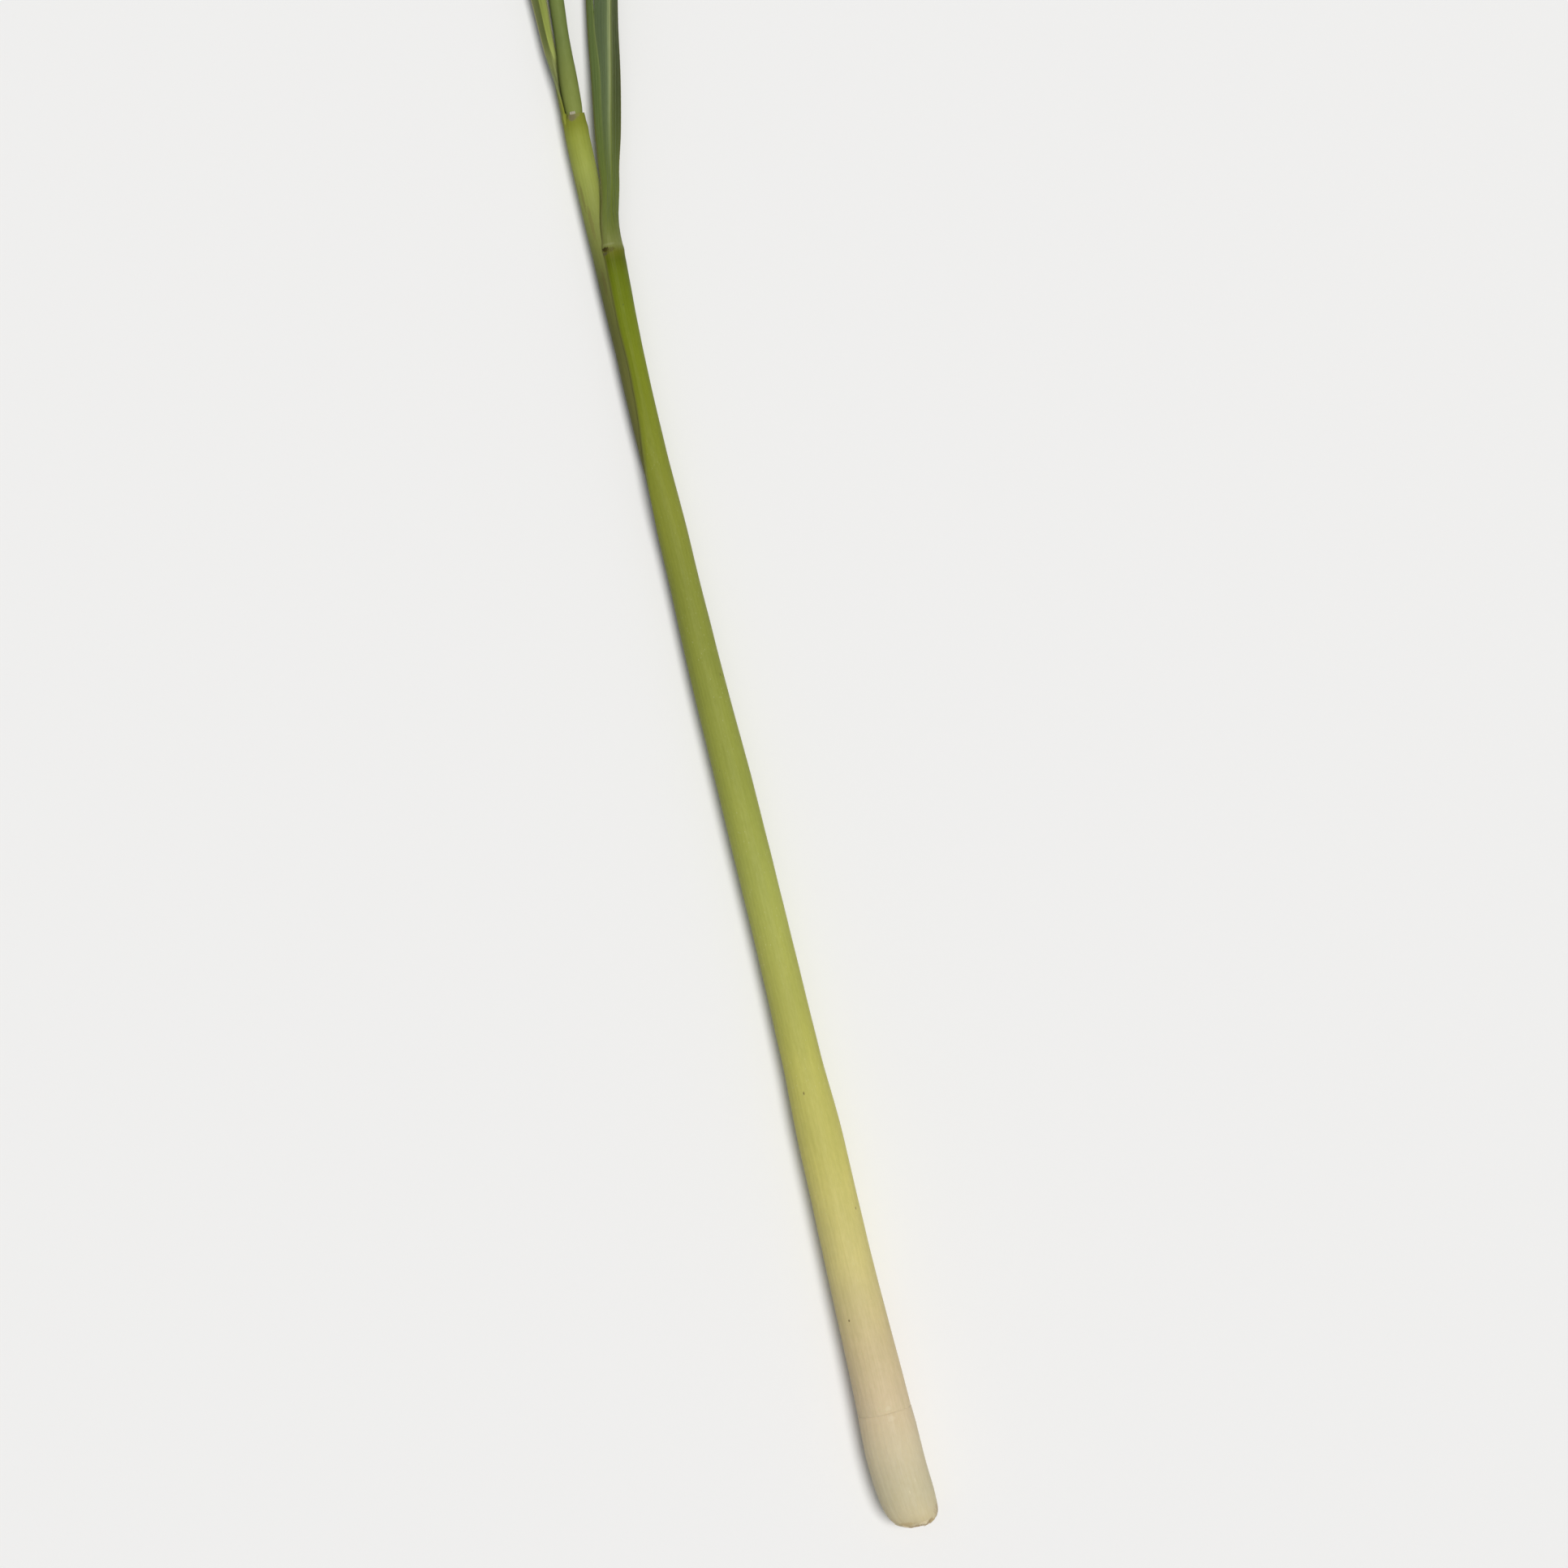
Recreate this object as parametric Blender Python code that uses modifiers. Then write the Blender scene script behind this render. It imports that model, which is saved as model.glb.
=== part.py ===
"""A cut lemongrass stalk, lying on a surface.

The stalk lies along +Y with its root end at -Y, and +Z is up.  The origin is
on the surface, under the thickest part of the stem, where the stalk rests.

Four pieces grew one inside the other and stay separate bodies:

  basal_stem    the short solid stem, cut across at its foot, with a step for
                each leaf that grows from it
  leaf_1        the outer leaf: a rolled sheath with one free edge showing,
                then a collar and a folded blade that leans to the right
  leaf_2        the next leaf, inside it: a rolled sheath that comes out of
                leaf_1, then a collar and a narrow folded blade on the left
  young_shoot   the innermost leaves, rolled tight into one slim spear

Stations are distances from the foot along the stalk.  Angles go round the
stalk: 0 is up, +90 is to the right (+X) and -90 to the left.
"""

import math

import bmesh
import bpy
from mathutils import Vector

MM = 0.001

# Lengths along the stalk, in millimetres from the foot
REST_STATION = 15.0
NODE_1 = 34.0
NODE_2 = 44.0
NODE_3 = 54.0
COLLAR_1 = 376.0
COLLAR_2 = 416.0
TRIMMED_END = 550.0
TEAR_START = 440.0

# Thicknesses and gaps, in millimetres
LEAF_THICKNESS = 0.62
GAP = 0.3
NEST_GAP = 0.4
COLLAR_STEP = 0.12
KEEL_ROUNDING = 2.0

# The line that the middle of the stalk follows: (station, sideways) and (station, height)
MIDDLE_SIDEWAYS = ((-0.6, 1.9), (0.3, 1.75), (1.3, 1.4), (2.4, 1.18), (3.7, 0.87), (4.9, 0.65), (6.2, 0.45),
                   (8.7, 0.2), (11.3, 0), (15, -0.25), (20, -0.42), (24, -0.5), (34, -0.45), (68, -0.6),
                   (115, -0.5), (163, -0.6), (211, -1.1), (259, -1.9), (290, -2.05), (306, -2.5), (318, -2.75), (330, -2.68), (342, -2.52),
                   (354, -2.3), (366, -1.92), (COLLAR_1, -1.65), (TRIMMED_END, -1.65))
MIDDLE_HEIGHT = ((0, 8.2), (15, 8.08), (COLLAR_1, 5.05), (COLLAR_2, 4.8), (TRIMMED_END, 4.0))

# Half the thickness of the foot: (station, radius)
FOOT_RADIUS = ((-0.6, 1.8), (-0.2, 3), (0.3, 4.1), (1.3, 5.7), (2.4, 6.6), (3.7, 7.18), (4.9, 7.5),
               (6.2, 7.72), (8.7, 7.98), (11.3, 8.1), (15, 8.17), (21, 8.17), (28, 8.02), (NODE_1, 7.75))

# Leaf 1's sheath: its radius, its keel and its two free edges, as angles
SHEATH_1_RADIUS = ((NODE_1, 7.75), (68, 6.95), (90, 6.65), (115, 6.5), (138, 5.65), (163, 5.4), (211, 5.25),
                   (259, 4.65), (285, 4.35), (292, 4.37), (306, 4.4), (318, 4.42), (330, 4.3),
                   (342, 4.22), (354, 4.3), (366, 4.52), (COLLAR_1, 4.65))
KEEL_1_ANGLE = 30.0
EDGE_1_LEFT = ((NODE_1, -165), (200, -165), (285, -105), (306, -68), (318, -38), (330, -20),
               (342, -15), (354, -21), (366, -20), (COLLAR_1, -20), (378, -12), (381, -8))
EDGE_1_RIGHT = ((NODE_1, 190), (345, 190), (COLLAR_1, 180))

# Leaf 1's blade: its lines as (station, sideways, height), and the crease in its left half
BLADE_1_KEEL = ((COLLAR_1, 0.7, 9.0), (395, 4.2, 10.2), (408, 6.8, 10.5), (424, 10.6, 10.6),
                (440, 14.3, 10.6), (500, 28.4, 9.6), (TRIMMED_END, 39.0, 7.6))
BLADE_1_LEFT = ((COLLAR_1, -2.2, 9.4), (383, -0.5, 9.5), (388, 0.25, 9.35), (395, 0.9, 8.9),
                (408, 2.4, 7.5), (424, 4.9, 5.9), (440, 7.4, 4.7), (500, 19.6, 1.8),
                (TRIMMED_END, 31.6, 0.25))
BLADE_1_RIGHT = ((COLLAR_1, 3.2, 5.4), (383, 4.7, 6.6), (395, 6.4, 5.9), (408, 9.9, 4.9),
                 (424, 13.5, 3.8), (440, 16.5, 3.1), (500, 30.8, 1.4), (TRIMMED_END, 41.8, -0.1))
CREASE_SHARE = ((COLLAR_1, 0.5), (423, 0.52), (TEAR_START, 0.7), (TRIMMED_END, 0.72))
CREASE_HEIGHT = ((402, 0.0), (423, 0.4), (TRIMMED_END, 0.5))
TEAR_WIDTH = ((TEAR_START, 0.0), (447, 0.9), (480, 1.6), (TRIMMED_END, 2.0))
BLADE_1_RIGHT_BASE = 0.5

# Leaf 2's sheath: how far it sits off the middle line, its radius, its keel and its free edges
SHEATH_2_SHIFT = ((295, 0), (306, -0.1), (318, -0.33), (330, -0.62), (342, -0.7), (354, -0.9),
                  (366, -1.15), (380, -1.28), (402, -1.12), (409, -1.0), (COLLAR_2, -0.4))
SHEATH_2_RADIUS = ((295, 3.27), (306, 3.16), (318, 3.12), (330, 3.08), (342, 3.05), (354, 3.12),
                   (366, 3.3), (380, 3.42), (402, 3.5), (409, 3.5), (COLLAR_2, 3.7))
KEEL_2_ANGLE = -120.0
EDGE_2_UPPER = 105.0
EDGE_2_LOWER = -245.0

# Leaf 2's blade: its lines as (station, sideways, height), and the share of each half of the
# sheath that it grows from
BLADE_2_KEEL = ((COLLAR_2, -5.3, 3.2), (422, -4.7, 3.0), (427, -4.45, 2.7), (431, -4.75, 2.0),
                (438, -5.05, 1.3), (450, -4.8, 0.9), (500, -6.9, 0.0), (TRIMMED_END, -10.6, -0.98))
BLADE_2_LEFT = ((COLLAR_2, -5.4, 6.9), (428, -6.0, 6.3), (438, -6.4, 5.9), (450, -6.6, 5.5),
                (500, -9.3, 5.1), (TRIMMED_END, -13.6, 4.6))
BLADE_2_RIGHT = ((COLLAR_2, -3.2, 1.6), (428, -2.9, 1.6), (438, -2.9, 3.4), (450, -2.2, 4.3),
                 (500, -3.6, 4.7), (TRIMMED_END, -7.0, 4.4))
BLADE_2_UPPER_BASE = 0.3
BLADE_2_LOWER_BASE = 0.3

# The young shoot: where it leaves the middle of leaf 2's sheath, and its line from there as
# (station, sideways, height, radius)
SHOOT_LEAVES = COLLAR_2 - 6.0
YOUNG_SHOOT = ((SHOOT_LEAVES, -2.65, 4.8, 2.3), (COLLAR_2, -2.15, 4.85, 2.6), (418, -1.95, 4.9, 2.78),
               (421, -1.7, 4.95, 2.92), (424, -1.5, 4.95, 2.9), (428, -1.2, 4.85, 2.75),
               (434, -0.7, 4.7, 2.38), (440, -0.25, 4.6, 2.22), (447, 0.35, 4.45, 2.28),
               (500, 5.0, 3.3, 2.1), (TRIMMED_END, 8.9, 2.5, 1.9))

# The solid stem's steps: how much each is drawn in at its foot and at its top, in millimetres
STEP_CLEARANCE = 0.05
STEP_TAPER = 0.4

# How finely the faces are laid
SHEATH_STEP = 17.0
BLADE_STEP = 9.0
CLOSE_STEPS = (0.0, 0.8, 2.5, 6.0, 10.0, 16.0)
HALF_COLUMNS = 10
FOOT_SIDES = 32
SHOOT_STEP = 16.0
SHOOT_STATIONS = (413.0, 416.0, 418.0, 421.0, 424.0, 428.0, 434.0, 440.0, 447.0, 465.0, 483.0,
                  500.0, 525.0, TRIMMED_END)
SHOOT_ROUNDING = 4
BLEND_LENGTH = 19.0
SHARP_EDGE = math.radians(40)
WELD = 0.000001

# The block that stands for the surface: its width and depth, and how far it reaches past the stalk
SURFACE_WIDTH = 160.0
SURFACE_DEPTH = 6.0
SURFACE_MARGIN = 50.0


def track(keys, station):
    """Read a smooth curve through keys at a station, with no overshoot between them."""
    if station <= keys[0][0]:
        return keys[0][1:]
    if station >= keys[-1][0]:
        return keys[-1][1:]
    at = max(i for i, key in enumerate(keys) if key[0] <= station)
    span = keys[at + 1][0] - keys[at][0]
    t = (station - keys[at][0]) / span
    values = []
    for column in range(1, len(keys[0])):
        low, high = keys[at][column], keys[at + 1][column]
        enter, leave = slope(keys, at, column) * span, slope(keys, at + 1, column) * span
        values.append(low * (1 + 2 * t) * (1 - t) ** 2 + high * t * t * (3 - 2 * t)
                      + enter * t * (1 - t) ** 2 - leave * t * t * (1 - t))
    return tuple(values)


def slope(keys, at, column):
    """The slope of a track at one of its keys: flat at a turning point, else the gentler mean."""
    if at in (0, len(keys) - 1):
        return 0.0 if len(keys) < 3 else end_slope(keys, at, column)
    before = (keys[at][column] - keys[at - 1][column]) / (keys[at][0] - keys[at - 1][0])
    after = (keys[at + 1][column] - keys[at][column]) / (keys[at + 1][0] - keys[at][0])
    return 0.0 if before * after <= 0 else 2 * before * after / (before + after)


def end_slope(keys, at, column):
    """The slope at a track's first or last key: that of its only stretch."""
    other = 1 if at == 0 else at - 1
    return (keys[other][column] - keys[at][column]) / (keys[other][0] - keys[at][0])


def smooth_step(t):
    """Rise smoothly from 0 to 1 as t does."""
    t = min(max(t, 0.0), 1.0)
    return t * t * (3 - 2 * t)


def place(station, sideways, height):
    """Turn millimetres along, across and above the stalk into a point in metres."""
    return Vector((sideways, station - REST_STATION, height)) * MM


def middle(station):
    """The stalk's middle at a station: (sideways, height)."""
    return track(MIDDLE_SIDEWAYS, station)[0], track(MIDDLE_HEIGHT, station)[0]


def round_point(centre, radius, angle):
    """A point at an angle on a circle round a centre: (sideways, height)."""
    turn = math.radians(angle)
    return centre[0] + radius * math.sin(turn), centre[1] + radius * math.cos(turn)


def mixed(first, second, share):
    """A point between two points."""
    return tuple(a + (b - a) * share for a, b in zip(first, second))


def make_material(name, colour, roughness):
    """A matt or satin surface of one colour."""
    material = bpy.data.materials.new(name)
    material.use_nodes = True
    shader = material.node_tree.nodes["Principled BSDF"]
    shader.inputs["Base Color"].default_value = (*colour, 1.0)
    shader.inputs["Roughness"].default_value = roughness
    shader.inputs["Metallic"].default_value = 0.0
    return material


def make_object(name, mesh, collection):
    """Put a mesh in a collection as a named object."""
    thing = bpy.data.objects.new(name, mesh)
    collection.objects.link(thing)
    return thing


def finish(thing, material):
    """Give a piece its material and smooth shading with sharp cut edges."""
    thing.data.materials.append(material)
    thing.data.shade_smooth()
    thing.data.set_sharp_from_angle(angle=SHARP_EDGE)


def sheet_mesh(name, grids):
    """A leaf's outer face, from grids of points that share their common edges."""
    sheet = bmesh.new()
    for grid in grids:
        rows = [[sheet.verts.new(point) for point in row] for row in grid]
        for lower, upper in zip(rows, rows[1:]):
            for left in range(len(lower) - 1):
                sheet.faces.new((lower[left], lower[left + 1], upper[left + 1], upper[left]))
    bmesh.ops.remove_doubles(sheet, verts=sheet.verts, dist=WELD)
    mesh = bpy.data.meshes.new(name)
    sheet.to_mesh(mesh)
    sheet.free()
    return mesh


def grid_of(surface, stations, shares):
    """A row of points at each station, at the shares across the surface that shares gives there."""
    return [[place(s, *surface(s, share)) for share in shares(s)] for s in stations]


def evenly(first, last, count):
    """Evenly spaced values from first to last, in count steps."""
    return [first + (last - first) * i / count for i in range(count + 1)]


def sheath_stations(start, collar):
    """Stations along a sheath."""
    return evenly(start, collar, round((collar - start) / SHEATH_STEP))


def blade_stations(collar):
    """Stations along a blade, closer together where it leaves its collar."""
    close = [collar + step for step in CLOSE_STEPS]
    even = evenly(close[-1], TRIMMED_END, round((TRIMMED_END - close[-1]) / BLADE_STEP))
    return close + even[1:]


def blend_above(collar, station):
    """How far a section has turned from the rolled sheath into the folded blade."""
    return smooth_step((station - collar) / BLEND_LENGTH)


def folded_point(keel, edge, other_edge, share):
    """A point on a folded blade, from its rounded keel at share 0 out to one edge at share 1."""
    keel, out, across = Vector(keel), Vector(edge) - Vector(keel), Vector(other_edge) - Vector(keel)
    reach = out.length * share
    if reach >= KEEL_ROUNDING:
        return tuple(keel + out * share)
    turn = (KEEL_ROUNDING - reach) / (2 * KEEL_ROUNDING)
    bend = (1 - turn) ** 2 * out.normalized() + turn ** 2 * across.normalized()
    return tuple(keel + KEEL_ROUNDING * bend)


def leaf_1_point(station, share):
    """A point on leaf 1: share 0 is the keel, -1 the left edge and 1 the sheath's right edge."""
    edge = track(EDGE_1_LEFT if share < 0 else EDGE_1_RIGHT, station)[0]
    step = COLLAR_STEP * smooth_step((station - COLLAR_1) / CLOSE_STEPS[1])
    radius = track(SHEATH_1_RADIUS, station)[0] - step
    rolled = round_point(middle(station), radius, KEEL_1_ANGLE + (edge - KEEL_1_ANGLE) * abs(share))
    blend = blend_above(COLLAR_1, station)
    if blend == 0:
        return rolled
    keel, left, right = (track(line, station) for line in (BLADE_1_KEEL, BLADE_1_LEFT, BLADE_1_RIGHT))
    if share >= 0:
        return mixed(rolled, folded_point(keel, right, left, share / BLADE_1_RIGHT_BASE), blend)
    sideways, height = folded_point(keel, left, right, -share)
    crease = track(CREASE_SHARE, station)[0]
    lift = -share / crease if -share < crease else (1 + share) / (1 - crease)
    return mixed(rolled, (sideways, height + lift * track(CREASE_HEIGHT, station)[0]), blend)


def tear_edges(station):
    """The shares of leaf 1's left half at which the tear's two sides run, alike up to its start."""
    crease = track(CREASE_SHARE, station)[0]
    width = track(BLADE_1_KEEL, station)[0] - track(BLADE_1_LEFT, station)[0]
    half_tear = track(TEAR_WIDTH, station)[0] / 2 / width
    return crease - half_tear, crease + half_tear


def sheath_shares(_station):
    """Columns round a sheath, from one free edge to the other."""
    return evenly(-1.0, 1.0, 2 * HALF_COLUMNS)


def leaf_1_ribbon_shares(station):
    """Columns across the outer strip of leaf 1's blade, left of the crease."""
    return evenly(-1.0, -tear_edges(station)[1], HALF_COLUMNS // 2)


def leaf_1_blade_shares(station):
    """Columns across the rest of leaf 1's blade, from the crease over the keel to the right edge."""
    left = evenly(-tear_edges(station)[0], 0.0, HALF_COLUMNS // 2)
    return left + evenly(0.0, BLADE_1_RIGHT_BASE, HALF_COLUMNS // 2)[1:]


def leaf_1_grids():
    """Leaf 1's outer face: the sheath, and the blade in two grids that part along the tear."""
    sheath, blade = sheath_stations(NODE_1 + GAP, COLLAR_1), blade_stations(COLLAR_1)
    return (grid_of(leaf_1_point, sheath, sheath_shares),
            grid_of(leaf_1_point, blade, leaf_1_ribbon_shares),
            grid_of(leaf_1_point, blade, leaf_1_blade_shares))


def sheath_2_centre(station):
    """The middle of leaf 2's sheath, which leans left where leaf 1 opens."""
    sideways, height = middle(station)
    return sideways + track(SHEATH_2_SHIFT, station)[0], height


def sheath_2_radius(station):
    """Leaf 2's sheath fills leaf 1's, then keeps its own size where it comes out."""
    if station < SHEATH_2_RADIUS[0][0]:
        return track(SHEATH_1_RADIUS, station)[0] - LEAF_THICKNESS - NEST_GAP
    return track(SHEATH_2_RADIUS, station)[0]


def leaf_2_point(station, share):
    """A point on leaf 2: share 0 is the keel, -1 the sheath's edge round below it and 1 that above."""
    edge, base, line, other = EDGE_2_UPPER, BLADE_2_UPPER_BASE, BLADE_2_LEFT, BLADE_2_RIGHT
    if share < 0:
        edge, base, line, other = EDGE_2_LOWER, BLADE_2_LOWER_BASE, BLADE_2_RIGHT, BLADE_2_LEFT
    angle = KEEL_2_ANGLE + (edge - KEEL_2_ANGLE) * abs(share)
    rolled = round_point(sheath_2_centre(station), sheath_2_radius(station), angle)
    keel, near, far = (track(keys, station) for keys in (BLADE_2_KEEL, line, other))
    return mixed(rolled, folded_point(keel, near, far, abs(share) / base), blend_above(COLLAR_2, station))


def leaf_2_blade_shares(_station):
    """The columns of leaf 2's sheath that go on into its blade."""
    lower, upper = round(BLADE_2_LOWER_BASE * HALF_COLUMNS), round(BLADE_2_UPPER_BASE * HALF_COLUMNS)
    return evenly(-BLADE_2_LOWER_BASE, BLADE_2_UPPER_BASE, lower + upper)


def leaf_2_grids():
    """Leaf 2's outer face: the sheath and the blade."""
    return (grid_of(leaf_2_point, sheath_stations(NODE_2, COLLAR_2), sheath_shares),
            grid_of(leaf_2_point, blade_stations(COLLAR_2), leaf_2_blade_shares))


def add_leaf(name, grids, surface, collection, material):
    """A leaf: its outer face made solid inwards, then cut by what it rests on."""
    thing = make_object(name, sheet_mesh(name, grids), collection)
    finish(thing, material)
    shell = thing.modifiers.new("thickness", "SOLIDIFY")
    shell.thickness = LEAF_THICKNESS * MM
    shell.offset = -1.0
    shell.use_even_offset = True
    add_cut(thing, surface)
    return thing


def add_cut(thing, cutter):
    """Cut one object out of another."""
    cut = thing.modifiers.new(cutter.name, "BOOLEAN")
    cut.operation = "DIFFERENCE"
    cut.solver = "EXACT"
    cut.object = cutter


def hide_cutter(cutter):
    """Keep a cutter out of the model."""
    cutter.hide_render = True
    cutter.display_type = "WIRE"
    return cutter


def add_surface_cutter(collection):
    """The surface that the stalk rests on, as a block that presses what touches it flat."""
    bpy.ops.mesh.primitive_cube_add(size=1.0)
    block = bpy.context.object
    block.name = "surface_block"
    size = (SURFACE_WIDTH, TRIMMED_END + 2 * SURFACE_MARGIN, SURFACE_DEPTH)
    for vertex in block.data.vertices:
        vertex.co = Vector(a * b for a, b in zip(vertex.co, size)) * MM
    block.location = place(TRIMMED_END / 2, 0.0, -SURFACE_DEPTH / 2)
    move_to(block, collection)
    return hide_cutter(block)


def as_mesh(curve, collection):
    """Replace a curve object by a mesh with its caps welded."""
    graph = bpy.context.evaluated_depsgraph_get()
    mesh = bpy.data.meshes.new_from_object(curve.evaluated_get(graph))
    welded = bmesh.new()
    welded.from_mesh(mesh)
    bmesh.ops.remove_doubles(welded, verts=welded.verts, dist=WELD)
    bmesh.ops.recalc_face_normals(welded, faces=welded.faces)
    welded.to_mesh(mesh)
    welded.free()
    name, place_matrix = curve.name, curve.matrix_world.copy()
    bpy.data.objects.remove(curve)
    thing = make_object(name, mesh, collection)
    thing.matrix_world = place_matrix
    return thing


def move_to(thing, collection):
    """Move an object out of the collections it is in and into this one."""
    for owner in thing.users_collection:
        owner.objects.unlink(thing)
    collection.objects.link(thing)


def add_basal_stem(surface, collection, material):
    """The solid stem: a round foot, then a narrower step inside each leaf that grows from it."""
    inside_1 = track(SHEATH_1_RADIUS, NODE_1)[0] - LEAF_THICKNESS - NEST_GAP
    inside_2 = sheath_2_radius(NODE_2) - LEAF_THICKNESS - NEST_GAP
    outline = [*FOOT_RADIUS, (NODE_1, inside_1), (NODE_2 - GAP, sheath_2_radius(NODE_2) - STEP_CLEARANCE),
               (NODE_2 - GAP, inside_2), (NODE_3 - GAP, inside_2 - STEP_TAPER)]
    body = bmesh.new()
    rings = []
    for station, radius in outline:
        round_it = [round_point(middle(station), radius, 360 * side / FOOT_SIDES) for side in range(FOOT_SIDES)]
        rings.append([body.verts.new(place(station, *point)) for point in round_it])
    for lower, upper in zip(rings, rings[1:]):
        for side in range(FOOT_SIDES):
            after = (side + 1) % FOOT_SIDES
            body.faces.new((lower[side], lower[after], upper[after], upper[side]))
    body.faces.new(rings[0][::-1])
    body.faces.new(rings[-1])
    bmesh.ops.recalc_face_normals(body, faces=body.faces)
    mesh = bpy.data.meshes.new("basal_stem")
    body.to_mesh(mesh)
    body.free()
    stem = make_object("basal_stem", mesh, collection)
    finish(stem, material)
    add_cut(stem, surface)
    return stem


def young_shoot_point(station):
    """The young shoot's middle and radius: inside leaf 2's sheath, then on its own."""
    if station < SHOOT_LEAVES:
        return (*sheath_2_centre(station), sheath_2_radius(station) - LEAF_THICKNESS - NEST_GAP)
    return track(YOUNG_SHOOT, station)


def add_young_shoot(collection, material):
    """The innermost leaves, rolled into one tapered spear with its end cut square."""
    count = round((COLLAR_2 - NODE_3) / SHOOT_STEP)
    stations = [*evenly(NODE_3, SHOOT_LEAVES, count), *SHOOT_STATIONS]
    path = bpy.data.curves.new("young_shoot", "CURVE")
    path.dimensions = "3D"
    path.bevel_depth = MM
    path.bevel_resolution = SHOOT_ROUNDING
    path.use_fill_caps = True
    spline = path.splines.new("POLY")
    spline.points.add(len(stations) - 1)
    for point, station in zip(spline.points, stations):
        sideways, height, radius = young_shoot_point(station)
        point.co = (*place(station, sideways, height), 1.0)
        point.radius = radius
    shoot = as_mesh(make_object("young_shoot", path, collection), collection)
    finish(shoot, material)
    return shoot


def clear_scene():
    """Remove what a new file starts with."""
    for thing in list(bpy.data.objects):
        bpy.data.objects.remove(thing)


def new_collection(name):
    """A collection under the scene's own."""
    collection = bpy.data.collections.new(name)
    bpy.context.scene.collection.children.link(collection)
    return collection


def main():
    """Build the stalk."""
    clear_scene()
    stalk = new_collection("lemongrass_stalk")
    cutters = new_collection("cutters")
    cream = make_material("stem_base", (0.60, 0.50, 0.33), 0.5)
    sheath_green = make_material("outer_leaf", (0.42, 0.46, 0.13), 0.42)
    inner_green = make_material("inner_leaf", (0.33, 0.38, 0.09), 0.42)
    shoot_green = make_material("shoot", (0.20, 0.27, 0.08), 0.45)
    surface = add_surface_cutter(cutters)
    add_basal_stem(surface, stalk, cream)
    add_leaf("leaf_1", leaf_1_grids(), surface, stalk, sheath_green)
    add_leaf("leaf_2", leaf_2_grids(), surface, stalk, inner_green)
    add_young_shoot(stalk, shoot_green)


main()
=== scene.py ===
"""The finished look of a cut lemongrass stalk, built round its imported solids.

The stalk lies along +Y on a surface at height 0.  Stations are millimetres from
the foot along the stalk; sideways and height are millimetres across it and above
the surface.  A leaf is a skin of stations and shares: share 0 is the keel, -1
the left free margin and 1 the right one.  Angles are degrees round the stalk
from 0, up, to the right.  A skin's grain holds three lengths in millimetres: how
far round it a point lies, its station, and how far in from a leaf's free margin
or out from the stem's middle.
"""

import logging
import math
import random
from dataclasses import dataclass, field
from enum import Enum
from typing import Callable, Mapping, Optional, Sequence, Union

import bmesh
import bpy
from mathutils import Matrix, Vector, noise


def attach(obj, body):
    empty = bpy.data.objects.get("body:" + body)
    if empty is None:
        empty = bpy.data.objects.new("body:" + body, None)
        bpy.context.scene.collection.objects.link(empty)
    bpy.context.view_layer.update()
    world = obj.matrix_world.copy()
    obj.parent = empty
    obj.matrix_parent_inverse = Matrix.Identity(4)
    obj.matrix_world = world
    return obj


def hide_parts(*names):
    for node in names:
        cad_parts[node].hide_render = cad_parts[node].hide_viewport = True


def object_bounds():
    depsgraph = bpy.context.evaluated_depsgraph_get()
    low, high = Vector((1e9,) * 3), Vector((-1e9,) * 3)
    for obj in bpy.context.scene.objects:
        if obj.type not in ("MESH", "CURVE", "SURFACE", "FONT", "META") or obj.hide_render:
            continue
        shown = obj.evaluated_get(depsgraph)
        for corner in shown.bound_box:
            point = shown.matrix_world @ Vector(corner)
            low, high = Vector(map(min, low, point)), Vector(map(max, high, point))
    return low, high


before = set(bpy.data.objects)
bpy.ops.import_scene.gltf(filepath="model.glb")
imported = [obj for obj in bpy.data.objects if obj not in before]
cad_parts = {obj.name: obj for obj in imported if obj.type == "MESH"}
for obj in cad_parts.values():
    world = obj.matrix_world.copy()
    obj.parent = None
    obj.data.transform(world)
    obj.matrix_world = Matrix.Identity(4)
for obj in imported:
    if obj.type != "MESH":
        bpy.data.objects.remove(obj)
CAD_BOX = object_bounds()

LOG = logging.getLogger("lemongrass")

MM = 0.001
BODY = "root"
FOOT_Y = CAD_BOX[0].y
TRIMMED_END = (CAD_BOX[1].y - FOOT_Y) / MM

Colour = tuple[float, float, float]
Point = tuple[float, float]
Vert = bmesh.types.BMVert
Socket = bpy.types.NodeSocket


class Face(Enum):
    """The three kinds of face on a grown piece, each with its own finish."""

    SKIN = 0
    LINING = 1
    CUT = 2


class Growth(Enum):
    """What a growing tree makes along the lines that it is given."""

    NERVES = "nerves"
    PRICKLES = "prickles"
    ROLL = "roll"


# ---------------------------------------------------------------- lines and numbers


def paint(red: int, green: int, blue: int) -> Colour:
    """Turn a colour as seen on a screen into the linear colour that a shader takes.

    Args:
        red: Red, 0 to 255.
        green: Green, 0 to 255.
        blue: Blue, 0 to 255.

    Returns:
        The linear colour.
    """
    shares = (red / 255, green / 255, blue / 255)
    return tuple(c / 12.92 if c <= 0.04045 else ((c + 0.055) / 1.055) ** 2.4 for c in shares)


def tones(*rows: tuple[float, int, int, int]) -> tuple[tuple[float, Colour], ...]:
    """Turn rows of a place, red, green and blue into places and linear colours."""
    return tuple((at, paint(*seen)) for at, *seen in rows)


def smooth(value: float) -> float:
    """Rise smoothly from 0 to 1 as the value does."""
    value = min(max(value, 0.0), 1.0)
    return value * value * (3 - 2 * value)


def evenly(first: float, last: float, count: int) -> list[float]:
    """Evenly spaced values from first to last, in count steps."""
    return [first + (last - first) * i / count for i in range(count + 1)]


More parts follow.
